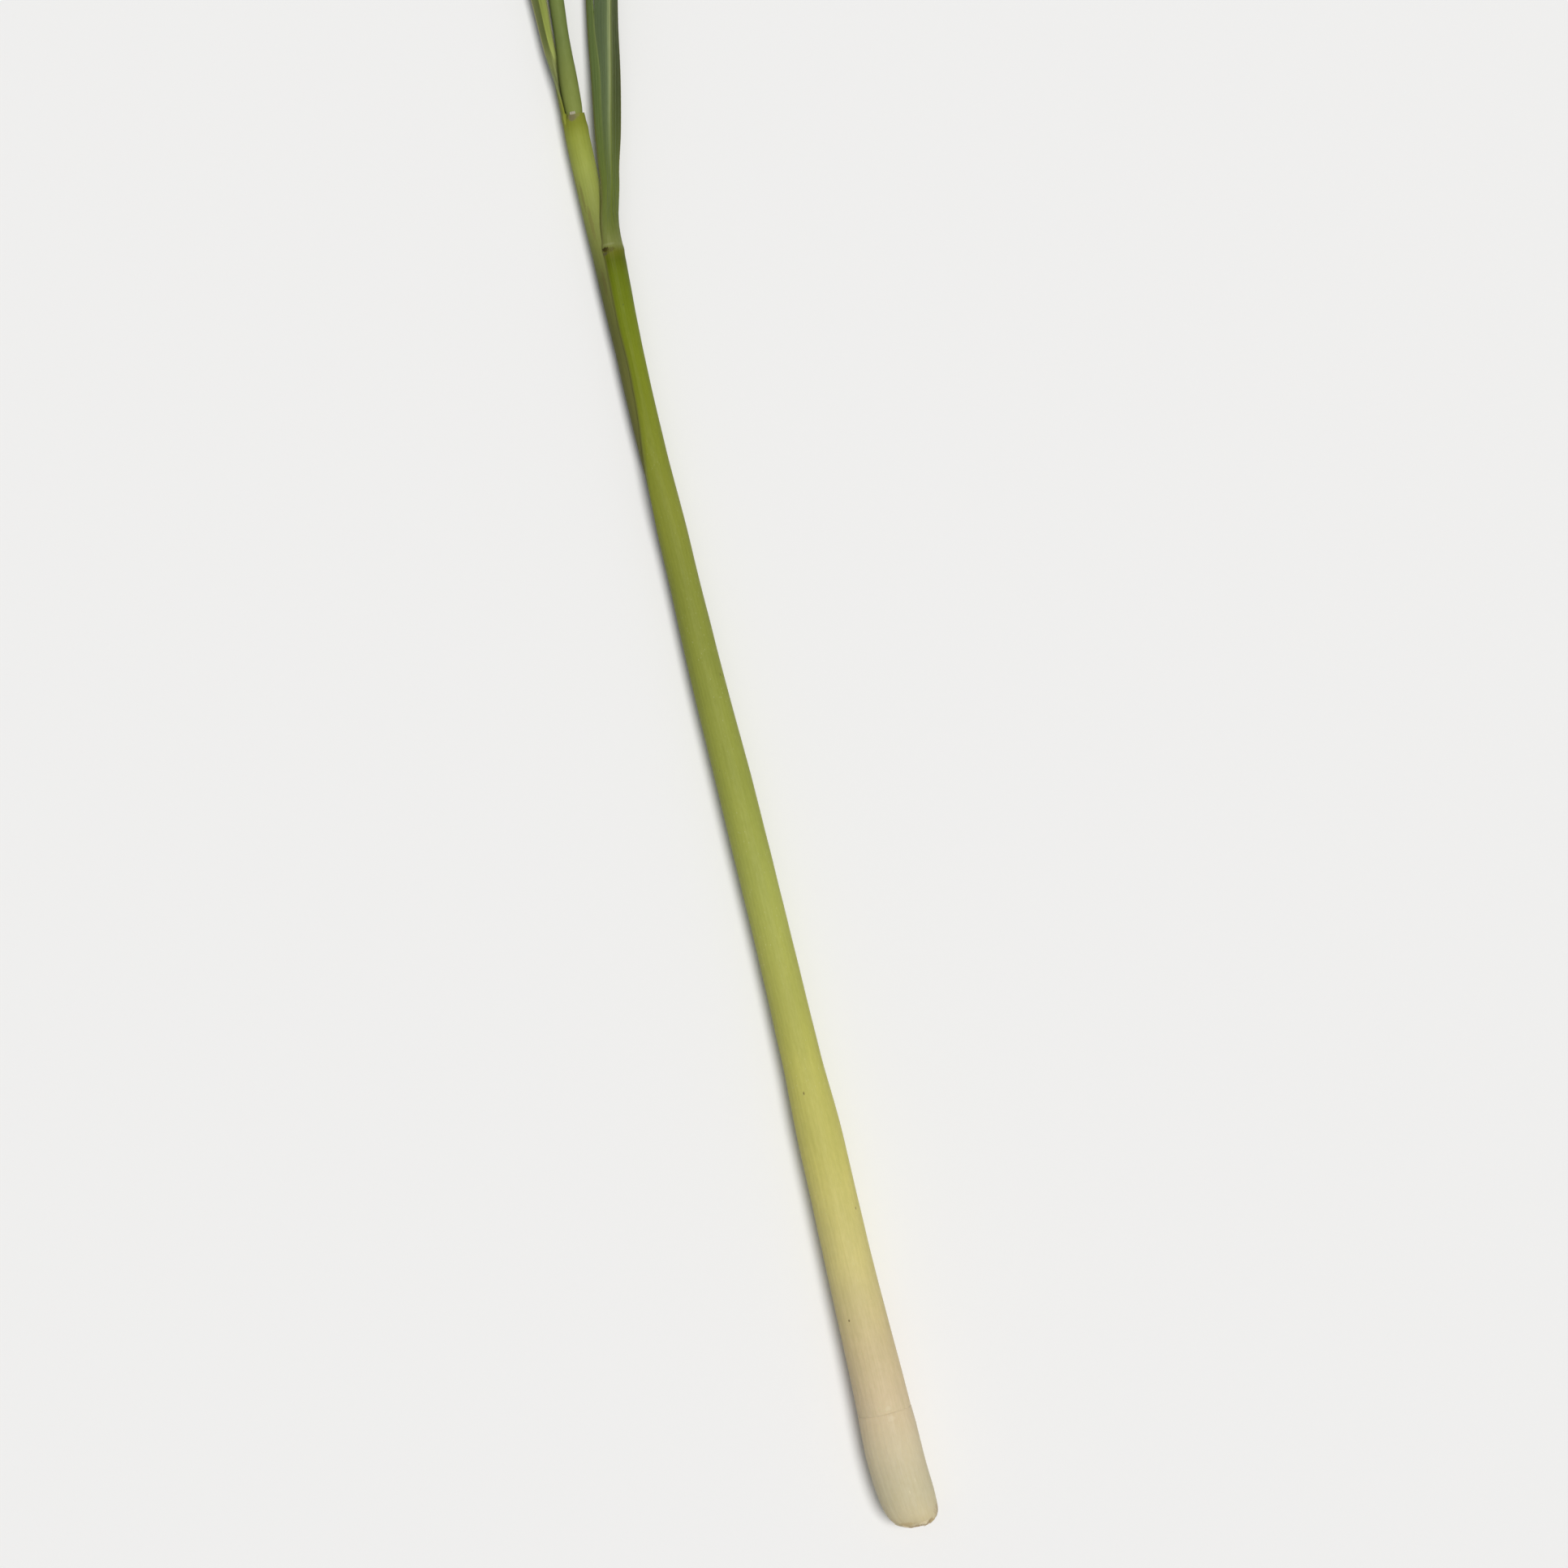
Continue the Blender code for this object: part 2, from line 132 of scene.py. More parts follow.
def hump(value: float, middle: float, reach: float) -> float:
    """A soft bump of height 1 at the middle that is nearly gone a reach away."""
    return math.exp(-(((value - middle) / reach) ** 2) * 2)


def rumple(x: float, y: float, z: float = 0.0) -> float:
    """Smooth noise of about -1 to 1 at a point."""
    return noise.noise(Vector((x, y, z)))


def place(station: float, sideways: float, height: float) -> Vector:
    """Turn millimetres along, across and above the stalk into a point in metres."""
    return Vector((sideways * MM, FOOT_Y + station * MM, height * MM))


def round_point(centre: Point, radius: float, angle: float) -> Point:
    """A point at an angle on a circle round a centre, sideways and height."""
    turn = math.radians(angle)
    return centre[0] + radius * math.sin(turn), centre[1] + radius * math.cos(turn)


@dataclass(frozen=True)
class Track:
    """A smooth line through keys, with no overshoot between them.

    Attributes:
        keys: Each a station and the values there.
    """

    keys: tuple[tuple[float, ...], ...]

    def at(self, station: float) -> tuple[float, ...]:
        """Read the values at a station.

        Args:
            station: Millimetres from the foot.

        Returns:
            The values there, held at the first and last key beyond them.
        """
        keys = self.keys
        if station <= keys[0][0]:
            return keys[0][1:]
        if station >= keys[-1][0]:
            return keys[-1][1:]
        at = max(i for i, key in enumerate(keys) if key[0] <= station)
        span = keys[at + 1][0] - keys[at][0]
        t = (station - keys[at][0]) / span
        values = []
        for column in range(1, len(keys[0])):
            enter, leave = self.slope(at, column) * span, self.slope(at + 1, column) * span
            low, high = keys[at][column], keys[at + 1][column]
            values.append(low * (1 + 2 * t) * (1 - t) ** 2 + high * t * t * (3 - 2 * t)
                          + enter * t * (1 - t) ** 2 - leave * t * t * (1 - t))
        return tuple(values)

    def value(self, station: float) -> float:
        """Read the only value at a station."""
        return self.at(station)[0]

    def slope(self, at: int, column: int) -> float:
        """Find the slope of one value at a key.

        Args:
            at: The key's number.
            column: The value's number.

        Returns:
            The slope: flat at a turning point, else the gentler mean of its two sides.
        """
        keys = self.keys
        if len(keys) < 3:
            return 0.0
        low, high = max(at - 1, 0), min(at + 1, len(keys) - 1)
        rise = [(keys[b][column] - keys[a][column]) / (keys[b][0] - keys[a][0])
                for a, b in ((low, at), (at, high)) if a != b]
        if len(rise) == 1:
            return rise[0]
        return 0.0 if rise[0] * rise[1] <= 0 else 2 * rise[0] * rise[1] / (rise[0] + rise[1])


# ---------------------------------------------------------------- nodes


class Value:
    """A number, vector, colour or geometry between nodes; a sum on it adds its node."""

    def __init__(self, desk: "NodeDesk", socket: Socket) -> None:
        """Take the desk that it is on and the output that it comes from."""
        self.desk, self.socket = desk, socket

    def __add__(self, other: "Feed") -> "Value":
        """Add a number."""
        return self.desk.maths("ADD", self, other)

    def __sub__(self, other: "Feed") -> "Value":
        """Take a number away."""
        return self.desk.maths("SUBTRACT", self, other)

    def __rsub__(self, other: "Feed") -> "Value":
        """Take this away from a number."""
        return self.desk.maths("SUBTRACT", other, self)

    def __mul__(self, other: "Feed") -> "Value":
        """Multiply by a number."""
        return self.desk.maths("MULTIPLY", self, other)

    def __truediv__(self, other: "Feed") -> "Value":
        """Divide by a number."""
        return self.desk.maths("DIVIDE", self, other)


Feed = Union[Value, float, str, Colour]
Feeds = Mapping[Union[str, int], Feed]


class NodeDesk:
    """Lays nodes in one shader or geometry tree and joins them."""

    def __init__(self, tree: bpy.types.NodeTree) -> None:
        """Take the tree to work in."""
        self.tree = tree

    def feed(self, socket: Socket, value: Feed) -> None:
        """Give an input a link or a plain value.

        Args:
            socket: The input.
            value: What it gets.
        """
        if isinstance(value, Value):
            self.tree.links.new(value.socket, socket)
        elif isinstance(value, tuple) and socket.type == "RGBA":
            socket.default_value = (*value, 1.0)
        else:
            socket.default_value = value

    def fill(self, node: bpy.types.Node, feeds: Feeds) -> None:
        """Feed a node's inputs, each by its name or number."""
        for key, value in feeds.items():
            self.feed(node.inputs[key], value)

    def add(self, kind: str, feeds: Optional[Feeds] = None, **settings: object) -> bpy.types.Node:
        """Add a node.

        Args:
            kind: The node's type.
            feeds: What its inputs get, by name or number.
            **settings: Its properties, set before the inputs are fed.

        Returns:
            The node.
        """
        made = self.tree.nodes.new(kind)
        for name, setting in settings.items():
            setattr(made, name, setting)
        self.fill(made, feeds or {})
        return made

    def get(self, kind: str, feeds: Optional[Feeds] = None, output: Union[str, int] = 0,
            **settings: object) -> Value:
        """Add a node as add does, and give one of its outputs."""
        return Value(self, self.add(kind, feeds, **settings).outputs[output])

    def outputs(self, kind: str) -> dict[str, Value]:
        """Add a node and give all its outputs by name."""
        return {out.name: Value(self, out) for out in self.add(kind).outputs}

    def maths(self, operation: str, first: Feed, second: Feed = 0.0) -> Value:
        """Work out one sum on one or two numbers."""
        return self.get("ShaderNodeMath", {0: first, 1: second}, operation=operation)

    def scaled(self, value: Feed, low: Feed, high: Feed, to_low: Feed = 0.0,
               to_high: Feed = 1.0) -> Value:
        """Map a number smoothly from one range to another and hold it there.

        Args:
            value: The number.
            low: Where its range starts.
            high: Where its range ends.
            to_low: The answer at the start and before it.
            to_high: The answer at the end and after it.

        Returns:
            The answer.
        """
        feeds = dict(enumerate((value, low, high, to_low, to_high)))
        return self.get("ShaderNodeMapRange", feeds, interpolation_type="SMOOTHSTEP")

    def vector(self, x: Feed, y: Feed, z: Feed = 0.0) -> Value:
        """Join three numbers into a vector."""
        return self.get("ShaderNodeCombineXYZ", {0: x, 1: y, 2: z})

    def apart(self, vector: Value) -> list[Value]:
        """Split a vector or a colour into its three numbers."""
        return [Value(self, out) for out in self.add("ShaderNodeSeparateXYZ", {0: vector}).outputs]

    def noise(self, vector: Value, scale: float, detail: float = 2.0, rough: float = 0.5) -> Value:
        """Make smooth noise on a vector.

        Args:
            vector: Where to read it.
            scale: How fine it is.
            detail: How many finer layers it has.
            rough: How strong those are.

        Returns:
            Noise of 0 to 1.
        """
        return self.get("ShaderNodeTexNoise", {
            "Vector": vector, "Scale": scale, "Detail": detail, "Roughness": rough}, "Fac")

    def mixed(self, share: Feed, first: Feed, second: Feed, blend: str = "MIX") -> Value:
        """Mix two colours.

        Args:
            share: How far to go, 0 to 1.
            first: The colour at 0.
            second: The colour that comes in.
            blend: How it comes in.

        Returns:
            The mixed colour.
        """
        factor, colour_a, colour_b, result = 0, 6, 7, 2
        return self.get("ShaderNodeMix", {factor: share, colour_a: first, colour_b: second},
                        result, data_type="RGBA", blend_type=blend)

    def ramp(self, value: Value, stops: Sequence[tuple[float, Colour]]) -> Value:
        """Read a colour from a row of stops.

        Args:
            value: Where to read, 0 to 1.
            stops: Each a position and its colour, in order.

        Returns:
            The colour.
        """
        made = self.add("ShaderNodeValToRGB", {0: value})
        band = made.color_ramp.elements
        for at, (position, colour) in enumerate(stops):
            stop = band[at] if at < 2 else band.new(position)
            stop.position, stop.color = position, (*colour, 1.0)
        return Value(self, made.outputs[0])

    def attribute(self, name: str, output: str) -> Value:
        """Read one of a piece's own attributes."""
        return self.get("ShaderNodeAttribute", output=output, attribute_name=name)

    def bumps(self, height: Value, depth: float) -> Value:
        """Turn a height into normals, with its depth in millimetres."""
        return self.get("ShaderNodeBump", {"Height": height, "Distance": depth * MM}, "Normal")

    def group(self, shared: bpy.types.NodeTree, feeds: Feeds) -> dict[str, Value]:
        """Place a shared effect.

        Args:
            shared: The effect.
            feeds: What its inputs get, by name.

        Returns:
            Its outputs by name.
        """
        made = self.add("ShaderNodeGroup", node_tree=shared)
        self.fill(made, feeds)
        return {out.name: Value(self, out) for out in made.outputs}


def new_effect(name: str, numbers: Mapping[str, float], outputs: Sequence[str]
               ) -> tuple[NodeDesk, dict[str, Value], bpy.types.Node]:
    """Start a shared shader effect that reads a skin's grain.

    Args:
        name: The effect's name.
        numbers: Its other inputs and their usual values.
        outputs: The names of the numbers that it gives.

    Returns:
        The desk to build on, the effect's inputs by name, and its output node.
    """
    tree = bpy.data.node_groups.new(name, "ShaderNodeTree")
    tree.interface.new_socket("Grain", in_out="INPUT", socket_type="NodeSocketVector")
    for label, usual in numbers.items():
        socket = tree.interface.new_socket(label, in_out="INPUT", socket_type="NodeSocketFloat")
        socket.default_value = usual
    for label in outputs:
        tree.interface.new_socket(label, in_out="OUTPUT", socket_type="NodeSocketFloat")
    desk = NodeDesk(tree)
    return desk, desk.outputs("NodeGroupInput"), desk.add("NodeGroupOutput")


def veins_effect() -> bpy.types.NodeTree:
    """Build fine parallel veins along a leaf: a height for bump and a streak for colour.

    Returns:
        The effect.
    """
    desk, given, result = new_effect(
        "parallel veins", {"Spacing": 0.5, "Wander": 0.3}, ("Height", "Streak"))
    across, along, _ = desk.apart(given["Grain"])
    wander = desk.noise(desk.vector(across * 0.35, along * 0.02), 1.0) * given["Wander"]
    wave = desk.maths("SINE", (across + wander) / given["Spacing"] * (2 * math.pi))
    fine = desk.noise(desk.vector(across * 3.4, along * 0.09), 1.0, 3.0, 0.6)
    broad = desk.noise(desk.vector(across * 0.8, along * 0.025, 3.0), 1.0)
    desk.fill(result, {
        "Height": (wave * 0.25 + 0.5) * 0.6 + fine * 0.5,
        "Streak": desk.scaled(fine * 0.6 + broad * 0.4, 0.36, 0.64)})
    return desk.tree


def mottle_effect() -> bpy.types.NodeTree:
    """Build the soft blotches of a living leaf: a broad and a fine one.

    Returns:
        The effect.
    """
    desk, given, result = new_effect("leaf mottle", {}, ("Broad", "Fine"))
    across, along, _ = desk.apart(given["Grain"])
    spread = desk.vector(across, along * 0.3, 7.0)
    desk.fill(result, {
        "Broad": desk.scaled(desk.noise(spread, 0.16), 0.3, 0.7),
        "Fine": desk.scaled(desk.noise(spread, 1.3, 3.0, 0.6), 0.3, 0.7)})
    return desk.tree


def specks_effect() -> bpy.types.NodeTree:
    """Build sparse short specks, a little longer than wide.

    Returns:
        The effect.
    """
    desk, given, result = new_effect(
        "specks", {"Scale": 0.3, "Share": 0.1, "Size": 0.15}, ("Mask",))
    across, along, _ = desk.apart(given["Grain"])
    cells = desk.add("ShaderNodeTexVoronoi", {
        "Vector": desk.vector(across, along * 0.45, 1.0), "Scale": given["Scale"]}, feature="F1")
    chance = desk.apart(Value(desk, cells.outputs["Color"]))[0]
    near = 1.0 - Value(desk, cells.outputs["Distance"]) / given["Size"]
    picked = desk.maths("LESS_THAN", chance, given["Share"])
    desk.fill(result, {"Mask": picked * desk.scaled(near, 0.0, 0.6)})
    return desk.tree


def mark_effect() -> bpy.types.NodeTree:
    """Build one blot with an uneven edge: a scar, a bruise, a browned rim or a patch of painted
    shade.

    Returns:
        The effect.
    """
    desk, given, result = new_effect(
        "mark", {"Across": 0.0, "Along": 0.0, "Half Width": 1.0, "Half Length": 1.0, "Ragged": 0.5},
        ("Mask",))
    across, along, _ = desk.apart(given["Grain"])
    wide = (across - given["Across"]) / given["Half Width"]
    long = (along - given["Along"]) / given["Half Length"]
    away = desk.maths("SQRT", wide * wide + long * long)
    rough = desk.noise(given["Grain"], 1.6, 3.0, 0.65) - 0.5
    desk.fill(result, {"Mask": desk.scaled(away + rough * given["Ragged"], 0.65, 1.1, 1.0, 0.0)})
    return desk.tree


@dataclass(frozen=True)
class SharedEffects:
    """The effects that more than one finish uses, each built once as a node group.

    Attributes:
        veins: Parallel veins.
        mottle: Soft blotches.
        specks: Small specks.
        mark: One blot.
    """

    veins: bpy.types.NodeTree = field(default_factory=veins_effect)
    mottle: bpy.types.NodeTree = field(default_factory=mottle_effect)
    specks: bpy.types.NodeTree = field(default_factory=specks_effect)
    mark: bpy.types.NodeTree = field(default_factory=mark_effect)


EFFECTS = SharedEffects()


# ---------------------------------------------------------------- finishes


def new_material(name: str) -> tuple[bpy.types.Material, NodeDesk, bpy.types.Node]:
    """Start a material.

    Args:
        name: Its name.

    Returns:
        The material, the desk to build it on and its shader.
    """
    made = bpy.data.materials.new(name)
    made.use_nodes = True
    return made, NodeDesk(made.node_tree), made.node_tree.nodes["Principled BSDF"]


@dataclass(frozen=True)
class Mark:
    """A blot on a skin.

    Attributes:
        along: Its station.
        across: How far round from the keel, on the grain.
        half_length: Half its length.
        half_width: Half its width.
        colour: Its colour.
        strength: How far it covers the skin, 0 to 1.
        ragged: How uneven its edge is.
    """

    along: float
    across: float
    half_length: float
    half_width: float
    colour: Colour
    strength: float = 1.0
    ragged: float = 0.7

    def over(self, desk: NodeDesk, grain: Value, colour: Value) -> Value:
        """Lay the blot over a skin's colour.

        Args:
            desk: The desk of the skin's material.
            grain: The skin's grain.
            colour: Its colour so far.

        Returns:
            Its colour with the blot.
        """
        blot = desk.group(EFFECTS.mark, {
            "Grain": grain, "Across": self.across, "Along": self.along, "Ragged": self.ragged,
            "Half Width": self.half_width, "Half Length": self.half_length})
        return desk.mixed(blot["Mask"] * self.strength, colour, self.colour)


@dataclass(frozen=True)
class SkinFinish:
    """Living skin of a leaf or stem, with veins, mottle, specks, pale flecks of wax and painted
    glints, and marks.

    Attributes:
        name: The material's name.
        along: The colour along the stalk, each a station and a colour.
        lanes: The colour across the blade, each a lane from -1 to 1 and a colour, with painted
            light and shade on some blades.
        blade_from: The station from which the lanes take over.
        blade_over: The length over which they do.
        dark: What the veins and blotches darken the skin by, as a colour to multiply with.
        pale: What the broad blotches lighten it by.
        streaks: How much the veins darken it, 0 to 1.
        depth: How deep the veins are, in millimetres.
        spacing: How far apart they are.
        roughness: The gloss of the skin.
        specular: How strongly it mirrors the light.
        margin: The colour of the thin free margin.
        margin_width: How far in that reaches, in millimetres.
        speck: The specks' colour.
        speck_share: How common they are.
        speck_scale: How many there would be to a millimetre if none were left out.
        speck_size: The size of each, as a share of the room that it has.
        fleck: The colour of the short pale flecks, partly wax and partly painted glints.
        fleck_share: How common those are.
        fleck_scale: How many there would be to a millimetre if none were left out.
        fleck_size: The size of each, as a share of the room that it has.
        fleck_end: The station past which they are gone.
        fleck_fade: The length over which they fade out before it.
        fleck_cover: How far they cover the skin, 0 to 1.
        broad_cover: How far the broad blotches do.
        fine_cover: How far the fine blotches do.
        margin_cover: How far the margin's colour does.
        speck_cover: How far the specks do.
        glow: How much light the flesh scatters.
        glow_reach: How far that goes in, in millimetres.
        marks: The blots on it.
    """

    name: str
    along: tuple[tuple[float, Colour], ...]
    lanes: tuple[tuple[float, Colour], ...] = ()
    blade_from: float = 0.0
    blade_over: float = 6.0
    dark: Colour = (0.72, 0.74, 0.6)
    pale: Colour = (1.16, 1.14, 1.1)
    streaks: float = 0.22
    depth: float = 0.03
    spacing: float = 0.5
    roughness: float = 0.55
    specular: float = 0.1
    margin: Colour = (0.6, 0.58, 0.36)
    margin_width: float = 0.6
    speck: Colour = (0.12, 0.08, 0.04)
    speck_share: float = 0.05
    speck_scale: float = 0.42
    speck_size: float = 0.13
    fleck: Colour = (0.62, 0.64, 0.36)
    fleck_share: float = 0.0
    fleck_scale: float = 1.9
    fleck_size: float = 0.3
    fleck_end: float = 345.0
    fleck_fade: float = 50.0
    fleck_cover: float = 0.38
    broad_cover: float = 0.45
    fine_cover: float = 0.18
    margin_cover: float = 0.8
    speck_cover: float = 0.7
    glow: float = 0.0
    glow_reach: float = 1.2
    marks: tuple[Mark, ...] = ()

    def material(self) -> bpy.types.Material:
        """Build the material, which reads the piece's grain and lane.

        Returns:
            The material.
        """
        made, desk, shader = new_material(self.name)
        grain = desk.attribute("grain", "Vector")
        _, along, edge = desk.apart(grain)
        veins = desk.group(EFFECTS.veins, {"Grain": grain, "Spacing": self.spacing, "Wander": 0.5})
        mottle = desk.group(EFFECTS.mottle, {"Grain": grain})
        specks = desk.group(EFFECTS.specks, {
            "Grain": grain, "Scale": self.speck_scale, "Share": self.speck_share,
            "Size": self.speck_size})
        # Pale flecks of wax that also stand in for glints: partly painted highlight.
        flecks = desk.group(EFFECTS.specks, {
            "Grain": grain, "Scale": self.fleck_scale, "Share": self.fleck_share,
            "Size": self.fleck_size})
        fading = desk.scaled(
            along, self.fleck_end - self.fleck_fade, self.fleck_end, self.fleck_cover, 0.0)
        thin = desk.scaled(edge, 0.0, self.margin_width, self.margin_cover, 0.0)
        colour = self.ground(desk, along)
        for share, other, blend in (
                ((1.0 - veins["Streak"]) * self.streaks, self.dark, "MULTIPLY"),
                (mottle["Broad"] * self.broad_cover, self.pale, "MULTIPLY"),
                (mottle["Fine"] * self.fine_cover, self.dark, "MULTIPLY"),
                (flecks["Mask"] * (mottle["Broad"] * fading), self.fleck, "MIX"),
                (thin, self.margin, "MIX")):
            colour = desk.mixed(share, colour, other, blend)
        for mark in self.marks:
            colour = mark.over(desk, grain, colour)
        desk.fill(shader, {
            "Base Color": desk.mixed(specks["Mask"] * self.speck_cover, colour, self.speck),
            "Roughness": mottle["Fine"] * 0.12 + (self.roughness - 0.04),
            "Normal": desk.bumps(veins["Height"] + mottle["Fine"] * 0.3, self.depth),
            "Specular IOR Level": self.specular, "Subsurface Weight": self.glow,
            "Subsurface Radius": (1.0, 0.8, 0.35), "Subsurface Scale": self.glow_reach * MM})
        return made

    def ground(self, desk: NodeDesk, along: Value) -> Value:
        """Find the skin's colour, with any painted light and shade: along the stalk, and on the
        blade across its lanes.

        Args:
            desk: The desk of the skin's material.
            along: The station.

        Returns:
            The colour.
        """
        reach = along / TRIMMED_END
        colour = desk.ramp(reach, [(at / TRIMMED_END, tone) for at, tone in self.along])
        if not self.lanes:
            return colour
        half = desk.attribute("lane", "Fac") * 0.5 + 0.5
        blade = desk.ramp(half, [((at + 1) / 2, tone) for at, tone in self.lanes])
        grown = desk.scaled(along, self.blade_from, self.blade_from + self.blade_over)
        return desk.mixed(grown, colour, blade)


@dataclass(frozen=True)
class CutFinish:
    """Cut flesh: pale, fibrous, ringed, and browned where it dried.

    Attributes:
        name: The material's name.
        flesh: The colour of the fresh cut.
        rings: The colour of its rings.
        dried: The colour where it dried.
        dried_share: How much of it dried.
        ring_spacing: How far apart its rings are, in millimetres.
        pore_scale: How many pores there are to a metre, about.
        patch_scale: How many dried patches there are to a metre, about.
        roughness: Its gloss.
        depth: How deep the pores are, in millimetres.
    """

    name: str
    flesh: Colour
    rings: Colour
    dried: Colour
    dried_share: float = 0.4
    ring_spacing: float = 0.75
    pore_scale: float = 2600.0
    patch_scale: float = 420.0
    roughness: float = 0.7
    depth: float = 0.12

    def material(self) -> bpy.types.Material:
        """Build the material.

        Returns:
            The material.
        """
        made, desk, shader = new_material(self.name)
        spot = desk.get("ShaderNodeTexCoord", output="Object")
        inwards = desk.apart(desk.attribute("grain", "Vector"))[2]
        ring = desk.maths("SINE", inwards * (2 * math.pi / self.ring_spacing))
        pores = desk.noise(spot, self.pore_scale, 3.0, 0.7)
        patches = desk.noise(spot, self.patch_scale, 3.0, 0.6)
        dried = desk.scaled(patches, 0.42, 0.62) * self.dried_share
        colour = desk.mixed(desk.scaled(ring, -0.2, 1.0, 0.0, 0.6), self.flesh, self.rings)
        colour = desk.mixed(dried, colour, self.dried)
        deep = desk.scaled(pores, 0.35, 0.6, 0.35, 0.0)
        colour = desk.mixed(deep, colour, self.dried, "MULTIPLY")
        desk.fill(shader, {"Base Color": colour, "Roughness": self.roughness,
                           "Normal": desk.bumps(pores + ring * 0.15, self.depth)})
        return made


@dataclass(frozen=True)
class MembraneFinish:
    """Dry papery tissue: ligules, torn shreds, nerves and prickles.

    Attributes:
        name: The material's name.
        pale: The colour of clean membrane.
        stain: The colour of its stains.
        roughness: Its gloss.
        stain_scale: How many stains there are to a metre, about.
        fibre_scale: How many fibres there are to a metre, about.
        depth: How deep the fibres are, in millimetres.
    """

    name: str
    pale: Colour
    stain: Colour
    roughness: float = 0.6
    stain_scale: float = 700.0
    fibre_scale: float = 3000.0
    depth: float = 0.05

    def material(self) -> bpy.types.Material:
        """Build the material.

        Returns:
            The material.
        """
        made, desk, shader = new_material(self.name)
        spot = desk.get("ShaderNodeTexCoord", output="Object")
        stains = desk.noise(spot, self.stain_scale, 3.0, 0.6)
        stained = desk.scaled(stains, 0.42, 0.68, 0.0, 0.8)
        fibres = desk.noise(spot, self.fibre_scale)
        desk.fill(shader, {"Base Color": desk.mixed(stained, self.pale, self.stain),
                           "Roughness": self.roughness,
                           "Normal": desk.bumps(fibres, self.depth)})
        return made


# ---------------------------------------------------------------- meshes


def new_object(name: str, data: bpy.types.ID) -> bpy.types.Object:
    """Put a mesh, a light or a camera in the scene.

    Args:
        name: The object's name.
        data: What it shows.

    Returns:
        The object, at the origin.
    """
    thing = bpy.data.objects.new(name, data)
    bpy.context.scene.collection.objects.link(thing)
    return thing


def settle(thing: bpy.types.Object) -> None:
    """Turn what a live modifier makes into the object's plain mesh.

    Args:
        thing: The object.
    """
    graph = bpy.context.evaluated_depsgraph_get()
    mesh = bpy.data.meshes.new_from_object(
        thing.evaluated_get(graph), preserve_all_data_layers=True, depsgraph=graph)
    mesh.name = thing.name
    thing.modifiers.clear()
    thing.data = mesh


def hand_over(thing: bpy.types.Object, slot: str, nodes: Sequence[str] = ()) -> None:
    """Ride a finished piece on the stalk, hide the solids that it is shown instead of, and report
    it.

    Args:
        thing: The piece.
        slot: Not used.
        nodes: The solids that it is shown instead of.
    """
    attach(thing, BODY)
    if nodes:
        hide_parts(*nodes)
    LOG.info("%s: %d faces", thing.name, len(thing.data.polygons))


